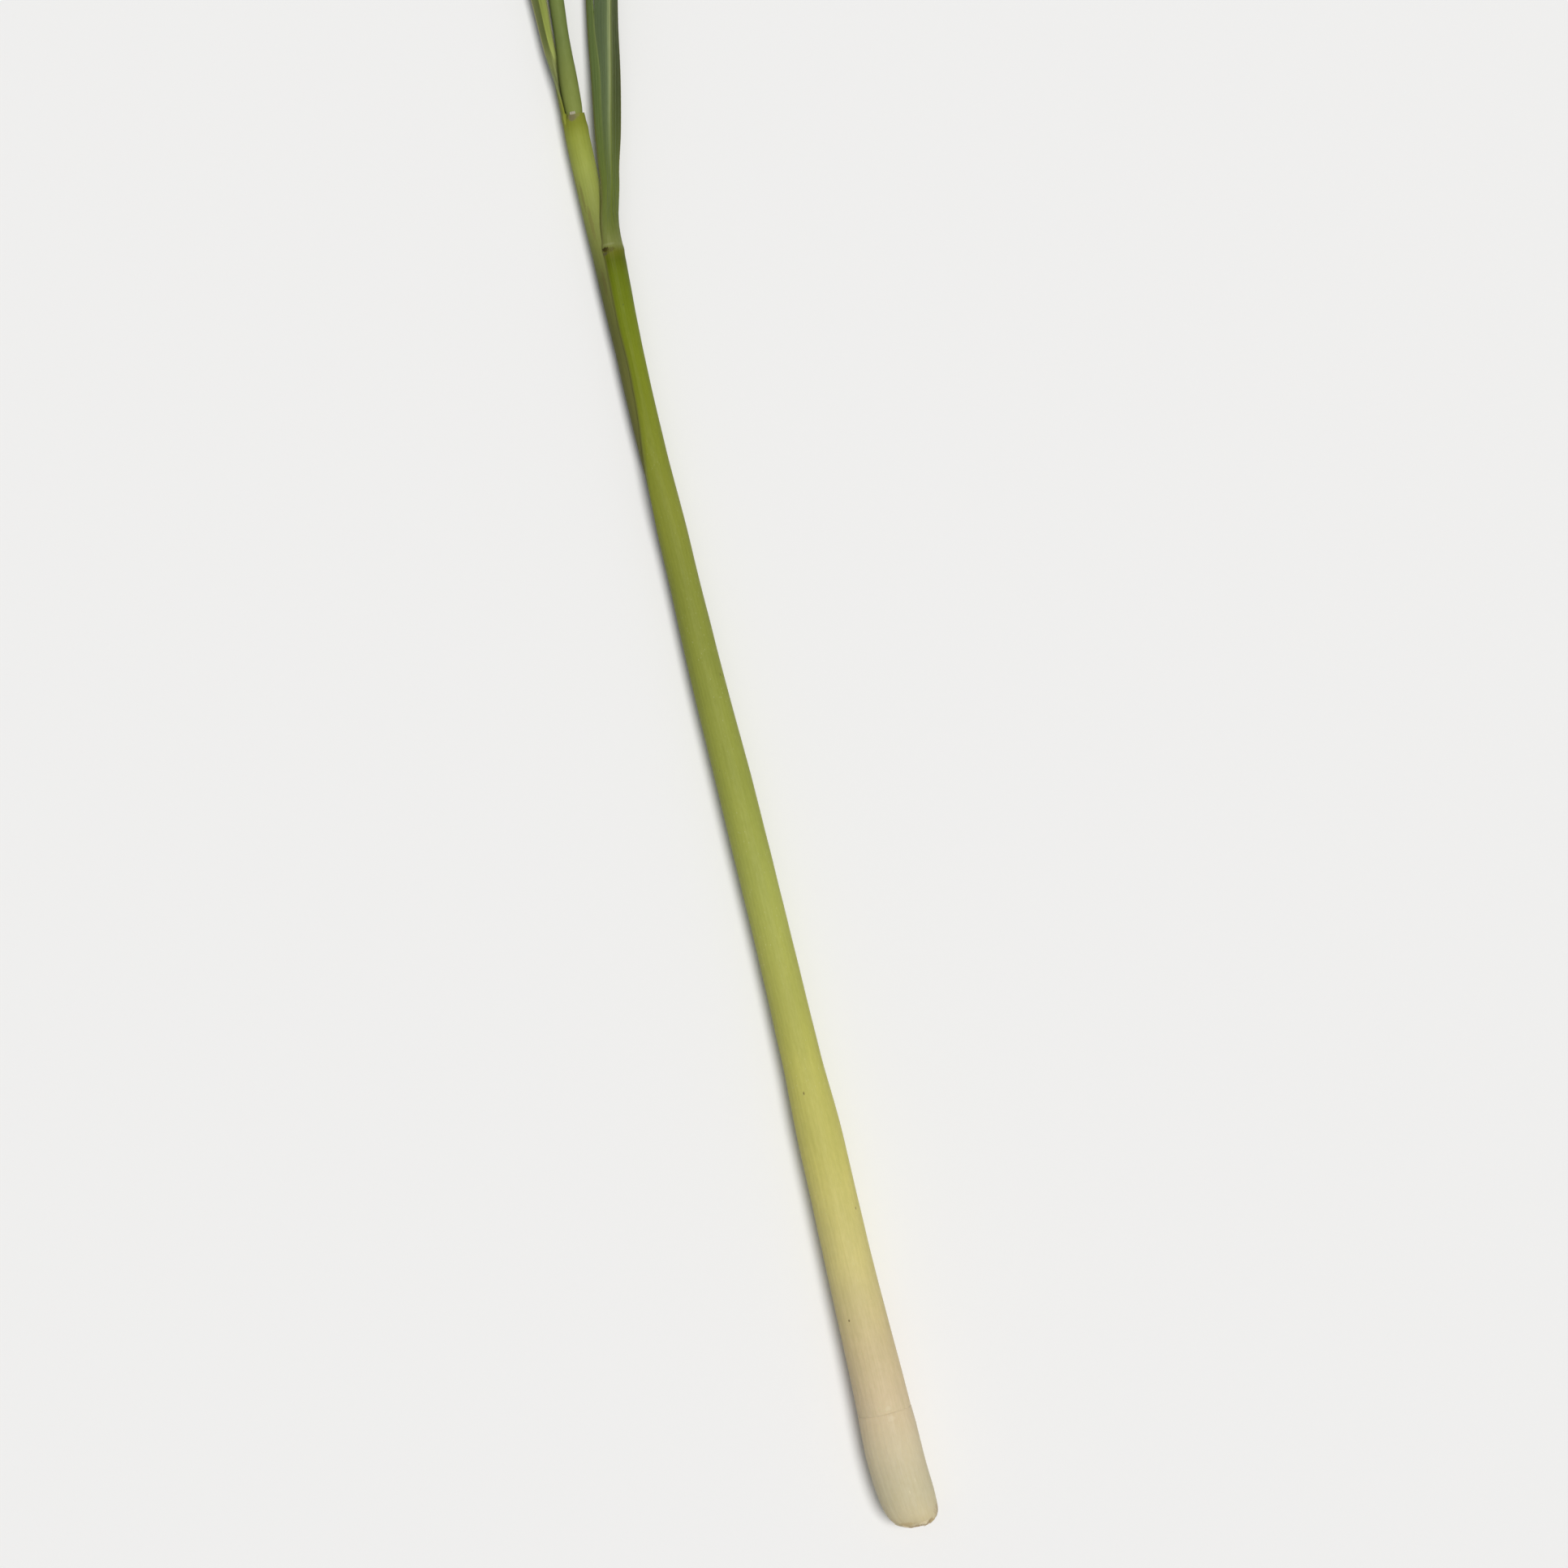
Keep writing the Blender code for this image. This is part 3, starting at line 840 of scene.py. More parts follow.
@dataclass
class Skin:
    """Gathers a piece's outer faces, then gives them relief and thickness.

    Attributes:
        name: The piece's name.
    """

    name: str

    def __post_init__(self) -> None:
        """Open an empty mesh with the layers that the finishes read."""
        self.mesh = bmesh.new()
        layers = self.mesh.verts.layers
        self.grain = layers.float_vector.new("grain")
        self.lane = layers.float.new("lane")
        self.relief = layers.float.new("relief")
        self.wall = layers.float.new("wall")

    def vertex(self, point: Vector, grain: tuple[float, float, float], lane: float = 0.0,
               relief: float = 0.0, wall: float = 0.0) -> Vert:
        """Add one point of the skin.

        Args:
            point: Where it is, in metres.
            grain: Across, along and in from the margin, in millimetres.
            lane: Where it lies across the blade.
            relief: How far it stands out, in millimetres.
            wall: How thick the leaf is there, in millimetres.

        Returns:
            The vertex.
        """
        made = self.mesh.verts.new(point)
        made[self.grain] = Vector(grain)
        made[self.lane] = lane
        made[self.relief] = relief
        made[self.wall] = wall
        return made

    def face(self, corners: Sequence[Vert], kind: Face) -> None:
        """Add one face of a kind."""
        self.mesh.faces.new(corners).material_index = kind.value

    def lay(self, rows: Sequence[Sequence[Vert]], kind: Face = Face.SKIN,
            closed: bool = False) -> None:
        """Lay faces between rows of points.

        Args:
            rows: The rows, each running to the right and each further along the stalk.
            kind: The kind of face.
            closed: Whether each row's last point joins its first.
        """
        for lower, upper in zip(rows, rows[1:]):
            count = len(lower)
            for left in range(count if closed else count - 1):
                right = (left + 1) % count
                self.face((lower[left], lower[right], upper[right], upper[left]), kind)

    def cap(self, ring: Sequence[Vert], centre: Vert, kind: Face, downwards: bool) -> None:
        """Close a ring with a fan of faces round a centre.

        Args:
            ring: The ring's points, running to the right.
            centre: The point in its middle.
            kind: The kind of face.
            downwards: Whether the faces look back along the stalk.
        """
        for at, first in enumerate(ring):
            second = ring[(at + 1) % len(ring)]
            self.face((centre, second, first) if downwards else (centre, first, second), kind)

    def weld(self) -> None:
        """Join the points that neighbouring patches share."""
        bmesh.ops.remove_doubles(self.mesh, verts=self.mesh.verts, dist=WELD_GAP * MM)

    def raise_relief(self) -> dict[Vert, tuple[Vector, Vector]]:
        """Lift each point by its relief.

        Returns:
            Each point's place before that, and its normal.
        """
        self.mesh.normal_update()
        base = {vert: (vert.co.copy(), vert.normal.copy()) for vert in self.mesh.verts}
        for vert, (before, normal) in base.items():
            vert.co = before + normal * vert[self.relief] * MM
        return base

    def thicken(self) -> None:
        """Give the skin its wall, a lining and cut edges."""
        base = self.raise_relief()
        rim = [edge for edge in self.mesh.edges if edge.is_boundary]
        skin = list(self.mesh.faces)
        inner = {}
        for vert, (before, normal) in base.items():
            depth = vert[self.wall] - min(vert[self.relief], 0.0)
            inner[vert] = self.vertex(before - normal * depth * MM, tuple(vert[self.grain]),
                                      vert[self.lane], 0.0, vert[self.wall])
        for outer in skin:
            self.face([inner[vert] for vert in reversed(outer.verts)], Face.LINING)
        for edge in rim:
            loop = edge.link_loops[0]
            first, second = loop.vert, loop.link_loop_next.vert
            trimmed = min(first[self.grain].y, second[self.grain].y) > TRIMMED_END - CUT_LENGTH
            self.face((second, first, inner[first], inner[second]),
                      Face.CUT if trimmed else Face.SKIN)

    def finish(self, finishes: Sequence[bpy.types.Material], sharp: float = 55.0
               ) -> bpy.types.Object:
        """Make the object, dress it and press it onto the surface.

        Args:
            finishes: The materials of the skin, the lining and the cut faces.
            sharp: The angle in degrees past which an edge is sharp.

        Returns:
            The object.
        """
        low, high = CAD_BOX
        for vert in self.mesh.verts:
            vert.co.z = max(vert.co.z, low.z)
            vert.co.y = min(max(vert.co.y, low.y), high.y)
        for layer in (self.relief, self.wall):
            self.mesh.verts.layers.float.remove(layer)
        mesh = bpy.data.meshes.new(self.name)
        self.mesh.to_mesh(mesh)
        self.mesh.free()
        for finish in finishes:
            mesh.materials.append(finish)
        mesh.shade_smooth()
        mesh.set_sharp_from_angle(angle=math.radians(sharp))
        return new_object(self.name, mesh)


# ---------------------------------------------------------------- what grows along lines


def line_mesh(name: str, lines: Sequence[Sequence[Vector]]) -> bpy.types.Mesh:
    """Make a mesh of bare lines for a tree to grow along.

    Args:
        name: The mesh's name.
        lines: Each line's points, in metres.

    Returns:
        The mesh.
    """
    points: list[Vector] = []
    edges: list[tuple[int, int]] = []
    for line in lines:
        start = len(points)
        points.extend(line)
        edges.extend((start + i, start + i + 1) for i in range(len(line) - 1))
    mesh = bpy.data.meshes.new(name)
    mesh.from_pydata(points, edges, [])
    return mesh


class GrowthTree:
    """A geometry tree with named inputs that grows something along bare lines."""

    def __init__(self, growth: Growth, numbers: Mapping[str, Union[int, float]]) -> None:
        """Start the tree with its lines as curves.

        Args:
            growth: What it grows.
            numbers: Its inputs beside the geometry and the material, and their usual values.
        """
        self.tree = bpy.data.node_groups.new(growth.value, "GeometryNodeTree")
        self.socket("Geometry", "NodeSocketGeometry")
        for label, usual in numbers.items():
            kind = "NodeSocketInt" if isinstance(usual, int) else "NodeSocketFloat"
            self.socket(label, kind).default_value = usual
        self.socket("Material", "NodeSocketMaterial")
        self.socket("Geometry", "NodeSocketGeometry", "OUTPUT")
        self.desk = NodeDesk(self.tree)
        self.given = self.desk.outputs("NodeGroupInput")
        self.path = self.desk.get("GeometryNodeMeshToCurve", {0: self.given["Geometry"]})

    def socket(self, label: str, kind: str, side: str = "INPUT"
               ) -> bpy.types.NodeTreeInterfaceSocket:
        """Add one of the tree's own sockets."""
        return self.tree.interface.new_socket(label, in_out=side, socket_type=kind)

    def swept(self, path: Value, profile: Value, girth: Value, caps: bool) -> Value:
        """Sweep a profile along a path.

        Args:
            path: The path.
            profile: The profile.
            girth: The profile's size at each of the path's points.
            caps: Whether the ends are closed.

        Returns:
            The swept mesh.
        """
        made = self.desk.add("GeometryNodeCurveToMesh", {
            "Curve": path, "Profile Curve": profile, "Fill Caps": caps})
        if "Scale" in made.inputs:
            self.desk.feed(made.inputs["Scale"], girth)
        return Value(self.desk, made.outputs[0])

    def end(self, geometry: Value) -> None:
        """Close the tree with real meshes in their material.

        Args:
            geometry: What has grown.
        """
        real = self.desk.get("GeometryNodeRealizeInstances", {0: geometry})
        dressed = self.desk.get("GeometryNodeSetMaterial", {
            "Geometry": real, "Material": self.given["Material"]})
        self.desk.add("NodeGroupOutput", {0: dressed})

    def grow(self, name: str, seedbed: bpy.types.Mesh, material: bpy.types.Material,
             numbers: Mapping[str, Union[int, float]]) -> bpy.types.Object:
        """Grow one piece.

        Args:
            name: The piece's name.
            seedbed: The lines to grow along.
            material: Its material.
            numbers: The tree's other inputs by name.

        Returns:
            The finished object with a plain mesh.
        """
        thing = new_object(name, seedbed)
        live = thing.modifiers.new(name, "NODES")
        live.node_group = self.tree
        by_name = {item.name: item.identifier for item in self.tree.interface.items_tree
                   if item.item_type == "SOCKET" and item.in_out == "INPUT"}
        for label, value in {"Material": material, **numbers}.items():
            live[by_name[label]] = value
        settle(thing)
        return thing


class NerveTree(GrowthTree):
    """Raised cords along lines, thinning out at both ends."""

    def __init__(self) -> None:
        """Build the tree."""
        super().__init__(Growth.NERVES, {
            "Radius": 0.1 * MM, "Sides": 6, "Taper": 0.02, "Tip Share": 0.15})
        desk, given = self.desk, self.given
        reach = desk.get("GeometryNodeSplineParameter", output="Factor")
        taper = desk.scaled(reach * (1.0 - reach), 0.0, given["Taper"], given["Tip Share"])
        sized = desk.get("GeometryNodeSetCurveRadius", {0: self.path, "Radius": taper})
        ring = desk.get("GeometryNodeCurvePrimitiveCircle", {
            "Resolution": given["Sides"], "Radius": given["Radius"]})
        self.end(self.swept(sized, ring, taper, True))


class PrickleTree(GrowthTree):
    """Tiny prickles that lean forward along a blade's margin."""

    def __init__(self) -> None:
        """Build the tree."""
        super().__init__(Growth.PRICKLES, {
            "Spacing": 1.5 * MM, "Length": 0.35 * MM, "Width": 0.06 * MM, "Smallest": 0.5,
            "Largest": 1.1, "Seed": 5})
        desk, given = self.desk, self.given
        spots = desk.get("GeometryNodeResampleCurve", {
            "Curve": self.path, "Length": given["Spacing"]}, mode="LENGTH")
        spike = desk.get("GeometryNodeMeshCone", {
            "Vertices": 5, "Radius Top": 0.0, "Radius Bottom": given["Width"],
            "Depth": given["Length"]}, "Mesh")
        forward = desk.get("GeometryNodeInputTangent")
        aim = desk.get("FunctionNodeAlignEulerToVector", {"Vector": forward}, axis="Z")
        low, high, number = 2, 3, 1
        size = desk.get("FunctionNodeRandomValue", {
            low: given["Smallest"], high: given["Largest"], "Seed": given["Seed"]},
            number, data_type="FLOAT")
        self.end(desk.get("GeometryNodeInstanceOnPoints", {
            "Points": spots, "Instance": spike, "Rotation": aim, "Scale": size}))


class RollTree(GrowthTree):
    """A leaf rolled into a scroll, swept along its path, with a slim core in the middle."""

    def __init__(self) -> None:
        """Build the tree."""
        super().__init__(Growth.ROLL, {
            "Turns": 2.6, "Inner Share": 0.3, "Wall": 0.2 * MM, "Points": 40,
            "Core Share": 0.2, "Core Sides": 16, "Seam": 0.0, "Breadth": 20.0,
            "From Margin": 5.0})
        desk, given = self.desk, self.given
        girth = self.read("girth")
        sized = desk.get("GeometryNodeSetCurveRadius", {0: self.path, "Radius": girth})
        gone = desk.get("GeometryNodeSplineParameter", output="Length")
        path = self.store(sized, "along", gone)
        scroll = desk.get("GeometryNodeCurveSpiral", {
            "Resolution": given["Points"], "Rotations": given["Turns"],
            "Start Radius": given["Inner Share"], "End Radius": 1.0, "Height": 0.0})
        turned = desk.get("GeometryNodeTransform", {
            "Geometry": scroll, "Rotation": desk.vector(0.0, 0.0, given["Seam"])})
        wound = desk.get("GeometryNodeSplineParameter", output="Factor")
        sheet = self.swept(path, self.store(turned, "round", wound), girth, False)
        ring = desk.get("GeometryNodeCurvePrimitiveCircle", {
            "Resolution": given["Core Sides"], "Radius": given["Core Share"]})
        core = self.swept(path, ring, girth, True)
        whole = desk.get("GeometryNodeSetShadeSmooth", {0: self.joined(self.walled(sheet), core)})
        grain = desk.vector(self.read("round") * given["Breadth"],
                            self.read("along") * (1 / MM) + NODE_3, given["From Margin"])
        self.end(self.store(whole, "grain", grain, "FLOAT_VECTOR"))

    def read(self, name: str) -> Value:
        """Read a number stored on the geometry."""
        return self.desk.get("GeometryNodeInputNamedAttribute", {"Name": name}, data_type="FLOAT")

    def store(self, geometry: Value, name: str, value: Value, kind: str = "FLOAT") -> Value:
        """Store a number or a vector on each point of a geometry."""
        return self.desk.get("GeometryNodeStoreNamedAttribute", {
            "Geometry": geometry, "Name": name, "Value": value}, data_type=kind, domain="POINT")

    def joined(self, *parts: Value) -> Value:
        """Join geometries into one.

        Args:
            *parts: The geometries, in order.

        Returns:
            The joined geometry.
        """
        made = self.desk.add("GeometryNodeJoinGeometry")
        for part in parts:
            self.desk.feed(made.inputs[0], part)
        return Value(self.desk, made.outputs[0])

    def walled(self, sheet: Value) -> Value:
        """Give an open sheet its wall and close it.

        Args:
            sheet: The sheet.

        Returns:
            The closed geometry.
        """
        out = self.desk.get("GeometryNodeExtrudeMesh", {
            "Mesh": sheet, "Offset Scale": self.given["Wall"], "Individual": False},
            "Mesh", mode="FACES")
        back = self.desk.get("GeometryNodeFlipFaces", {"Mesh": sheet})
        return self.desk.get("GeometryNodeMergeByDistance", {
            "Geometry": self.joined(out, back), "Distance": 2 * WELD_GAP * MM})


# ---------------------------------------------------------------- the stalk's lines

# Stations: the cut face, where each leaf grows from the stem, where each blade begins,
# where the first sheath's margin is pressed down, where its blade tears, and where the
# shoot leaves the second sheath's middle.
FOOT_END = -0.6
NODE_1, NODE_2, NODE_3 = 34.0, 44.0, 54.0
COLLAR_1, COLLAR_2 = 376.0, 416.0
PRESS_START = 288.0
TEAR_START = 440.0
SHOOT_LEAVES = 410.0

# Lengths along the stalk: a sheath's turning into a blade, its uneven mouth, the uneven
# trimmed end, and how much of that end shows cut flesh.
BLEND_LENGTH = 19.0
MOUTH_LENGTH = 9.0
END_LENGTH = 1.5
CUT_LENGTH = 1.0

# Lengths across it: the wall and the gap between nested sheaths, a keel's rounding, the
# ribs, and the lowest that a line on a leaf may lie.
CAD_WALL = 0.62
NEST_GAP = 0.4
KEEL_ROUNDING = 2.0
RIB_SPACING = 1.3
RIB_HEIGHT = 0.02
LOWEST_LINE = 0.12

# The grain's radius round a sheath and its width on half a blade, and the gap below which
# two points are one.
GRAIN_RADIUS = 6.0
BLADE_GRAIN = 10.0
WELD_GAP = 0.002

MIDDLE = Track((
    (-0.6, 1.9, 8.2), (0.3, 1.75, 8.2), (1.3, 1.4, 8.19), (2.4, 1.18, 8.18), (3.7, 0.87, 8.17),
    (4.9, 0.65, 8.16), (6.2, 0.45, 8.15), (8.7, 0.2, 8.13), (11.3, 0, 8.11), (15, -0.25, 8.08),
    (20, -0.42, 8.04), (24, -0.5, 8.0), (34, -0.45, 7.92), (68, -0.6, 7.63), (115, -0.5, 7.22),
    (163, -0.6, 6.81), (211, -1.1, 6.4), (259, -1.9, 6.0), (290, -2.05, 5.77), (306, -2.5, 5.63),
    (318, -2.75, 5.53), (330, -2.68, 5.43), (342, -2.52, 5.33), (354, -2.3, 5.23),
    (366, -1.92, 5.12), (COLLAR_1, -1.65, 5.05), (COLLAR_2, -1.65, 4.8), (550, -1.65, 4.0)))
FOOT_RADIUS = Track((
    (-0.6, 1.8), (-0.2, 3), (0.3, 4.1), (1.3, 5.7), (2.4, 6.6), (3.7, 7.18), (4.9, 7.5),
    (6.2, 7.72), (8.7, 7.98), (11.3, 8.1), (15, 8.17), (21, 8.17), (28, 8.02), (NODE_1, 7.75)))
SHEATH_1_RADIUS = Track((
    (NODE_1, 7.75), (68, 6.95), (90, 6.65), (115, 6.5), (138, 5.65), (163, 5.4), (211, 5.25),
    (259, 4.65), (285, 4.35), (292, 4.37), (306, 4.4), (318, 4.42), (330, 4.3), (342, 4.22),
    (354, 4.3), (366, 4.52), (COLLAR_1, 4.65)))
SHEATH_2_SHIFT = Track((
    (295, 0), (306, -0.1), (318, -0.33), (330, -0.62), (342, -0.7), (354, -0.9), (366, -1.15),
    (380, -1.28), (402, -1.12), (409, -1.0), (COLLAR_2, -0.4)))
SHEATH_2_RADIUS = Track((
    (295, 3.27), (306, 3.16), (318, 3.12), (330, 3.08), (342, 3.05), (354, 3.12), (366, 3.3),
    (380, 3.42), (402, 3.5), (409, 3.5), (COLLAR_2, 3.7)))
CREASE_SHARE = Track(((COLLAR_1, 0.5), (423, 0.52), (TEAR_START, 0.7), (550, 0.72)))
CREASE_HEIGHT = Track(((402, 0.0), (423, 0.4), (550, 0.5)))
TEAR_WIDTH = Track(((TEAR_START, 0.0), (447, 0.9), (480, 1.6), (550, 2.0)))
YOUNG_SHOOT = Track((
    (SHOOT_LEAVES, -2.65, 4.8, 2.3), (COLLAR_2, -1.98, 4.85, 2.66), (418, -1.84, 4.9, 2.84),
    (421, -1.7, 4.95, 2.92), (424, -1.5, 4.95, 2.9), (428, -1.2, 4.85, 2.75),
    (434, -0.7, 4.7, 2.38), (440, -0.25, 4.6, 2.22), (447, 0.35, 4.45, 2.28), (500, 5.0, 3.3, 2.1),
    (550, 8.9, 2.5, 1.9)))


def middle(station: float) -> Point:
    """The stalk's middle at a station."""
    sideways, height = MIDDLE.at(station)
    return sideways, height


def sheath_2_centre(station: float) -> Point:
    """The middle of the second leaf's sheath, which leans left where the first opens."""
    sideways, height = middle(station)
    return sideways + SHEATH_2_SHIFT.value(station), height


def inside(radius: float) -> float:
    """The outer radius of what fits inside a sheath of a radius."""
    return radius - CAD_WALL - NEST_GAP


def sheath_2_radius(station: float) -> float:
    """Find the radius of the second leaf's sheath.

    Args:
        station: Millimetres from the foot.

    Returns:
        What fills the first leaf's sheath, then its own size where it comes out.
    """
    if station < SHEATH_2_RADIUS.keys[0][0]:
        return inside(SHEATH_1_RADIUS.value(station))
    return SHEATH_2_RADIUS.value(station)


def ribs(across: float, wander: float) -> float:
    """The height of the fine ribs at a place across the grain."""
    return RIB_HEIGHT * math.sin(across * 2 * math.pi / RIB_SPACING + wander)


def folded_point(keel: Point, edge: Point, other: Point, share: float) -> tuple[float, ...]:
    """Find a point on a folded blade, from its rounded keel out to one edge.

    Args:
        keel: The keel's point.
        edge: The near margin's point.
        other: The far margin's point.
        share: How far out to go, 0 to 1.

    Returns:
        Sideways and height.
    """
    base, out, across = Vector(keel), Vector(edge) - Vector(keel), Vector(other) - Vector(keel)
    reach = out.length * share
    if reach >= KEEL_ROUNDING:
        return tuple(base + out * share)
    turn = (KEEL_ROUNDING - reach) / (2 * KEEL_ROUNDING)
    bend = (1 - turn) ** 2 * out.normalized() + turn ** 2 * across.normalized()
    return tuple(base + KEEL_ROUNDING * bend)


# ---------------------------------------------------------------- the foot


@dataclass
class Foot:
    """The solid stem: its swollen foot, the cut face, and the steps held inside the leaves.

    Attributes:
        skin: The finish of the outside.
        cut: The finish of the cut face.
        dried: The finish of the frayed shreds round the cut.
        dents: How deep the dents of its side are.
        worn: How rough the rim of the cut is.
        columns: Points round it.
        shreds: How many shreds are drawn.
    """

    skin: SkinFinish
    cut: CutFinish
    dried: MembraneFinish
    dents: float = 0.16
    worn: float = 0.3
    columns: int = 160
    shreds: int = 30

    def spot(self, station: float, radius: float, angle: float) -> Vector:
        """A point round the stem's middle line."""
        return place(station, *round_point(middle(station), radius, angle))

    def ring(self, skin: Skin, station: float, radius: float) -> list[Vert]:
        """Add one ring of points with its ribs, dents and the cut's roughness.

        Args:
            skin: The skin to add to.
            station: Where it is.
            radius: Its radius.

        Returns:
            The ring's vertices.
        """
        made = []
        outside = smooth((station - 0.8) / 3.0) * smooth((NODE_1 + 0.2 - station) / 0.3)
        for column in range(self.columns):
            angle = 360.0 * column / self.columns - 180
            turn = math.radians(angle)
            across = GRAIN_RADIUS * turn
            x, y = math.cos(turn), math.sin(turn)
            dents = self.dents * rumple(x * 1.6, y * 1.6, station * 0.07)
            worn = self.worn * rumple(x * 4, y * 4, station) * hump(station, 0.4, 2.2)
            relief = (ribs(across, rumple(x, y, station * 0.05) * 2) + dents) * outside + worn
            uneven = self.worn * rumple(x * 3, y * 3, 9.0) * (1 - smooth(station / 2.5))
            spot = self.spot(max(station + uneven, FOOT_END), radius, angle)
            made.append(skin.vertex(spot, (across, station, radius), 0.0, relief))
        return made

    def make(self) -> None:
        """Build the stem and its shreds, and hand them over."""
        skin = Skin("stem_foot")
        face_station, top_station = FOOT_END + 0.1, NODE_3 - 0.3
        face = [self.ring(skin, face_station, radius) for radius in (0.35, 0.7, 1.1, 1.5)]
        rise = [FOOT_END, -0.4, -0.2, 0.05, 0.3, 0.6, 0.95, 1.35, 1.8, 2.4, 3.0, 3.7, 4.6, 5.6,
                6.6, 7.7, *evenly(9.0, NODE_1 - 2.0, 23),
                *(NODE_1 - back for back in (1.5, 1.0, 0.5, 0.1))]
        side = [self.ring(skin, station, FOOT_RADIUS.value(station)) for station in rise]
        in_1, in_2 = inside(SHEATH_1_RADIUS.value(NODE_1)), inside(sheath_2_radius(NODE_2))
        steps = ((NODE_1, 7.55), (NODE_1 + 0.1, in_1), (NODE_2 - 0.4, in_1 - 0.1), (NODE_2, in_2),
                 (NODE_3 - 0.8, in_2 - 0.3), (top_station, in_2 - 0.8))
        top = [self.ring(skin, station, radius) for station, radius in steps]
        browned = 5
        skin.lay([*face, side[0]], Face.CUT, closed=True)
        skin.lay(side[:browned + 1], Face.CUT, closed=True)
        skin.lay([*side[browned:], *top], Face.SKIN, closed=True)
        low = skin.vertex(self.spot(face_station, 0.0, 0.0), (0.0, 0.0, 0.0))
        high = skin.vertex(self.spot(top_station, 0.0, 0.0), (0.0, NODE_3, 0.0))
        skin.cap(face[0], low, Face.CUT, downwards=True)
        skin.cap(top[-1], high, Face.CUT, downwards=False)
        skin.raise_relief()
        cut = self.cut.material()
        hand_over(skin.finish([self.skin.material(), cut, cut], 70.0), "stem_base", ("basal_stem",))
        self.make_shreds()

    def make_shreds(self) -> None:
        """Build the frayed shreds round the browned rim of the cut, and hand them over."""
        chance = random.Random(11)
        lines = []
        for _ in range(self.shreds):
            angle = chance.uniform(-180, 180) if chance.random() < 0.4 else chance.gauss(38, 16)
            station = chance.uniform(-0.3, 0.9)
            length = chance.uniform(0.6, 1.6)
            drift = chance.uniform(-6, 6)
            lift = chance.uniform(0.02, 0.14)
            line = []
            for t in evenly(0.0, 1.0, 6):
                at = max(station + length * (t - 0.25), FOOT_END)
                out = FOOT_RADIUS.value(at) + 0.02 + lift * t * t
                line.append(self.spot(at, out, angle + drift * t))
            lines.append([point for point in line if point.z > 0.25 * MM])
        lines = [line for line in lines if len(line) > 2]
        shreds = NERVES.grow("foot_shreds", line_mesh("foot_shreds", lines), self.dried.material(),
                             {"Radius": 0.075 * MM, "Sides": 5})
        hand_over(shreds, "stem_base")


# ---------------------------------------------------------------- the leaves


@dataclass(frozen=True)
class Half:
    """One half of a leaf, from its keel to a free margin.

    Attributes:
        edge: The sheath's free margin, as an angle.
        base: How much of the sheath's half the blade grows from.
        margin: The blade's margin, sideways and height.
    """

    edge: Track
    base: float
    margin: Track


@dataclass(frozen=True)
class LeafPoint:
    """A point on a leaf's skin.

    Attributes:
        sideways: Millimetres across.
        height: Millimetres above the surface.
        across: How far round from the keel, on the grain.
        edge: Millimetres to the free margin.
        lane: Where it lies across the blade, -1 to 1.
    """

    sideways: float
    height: float
    across: float
    edge: float
    lane: float


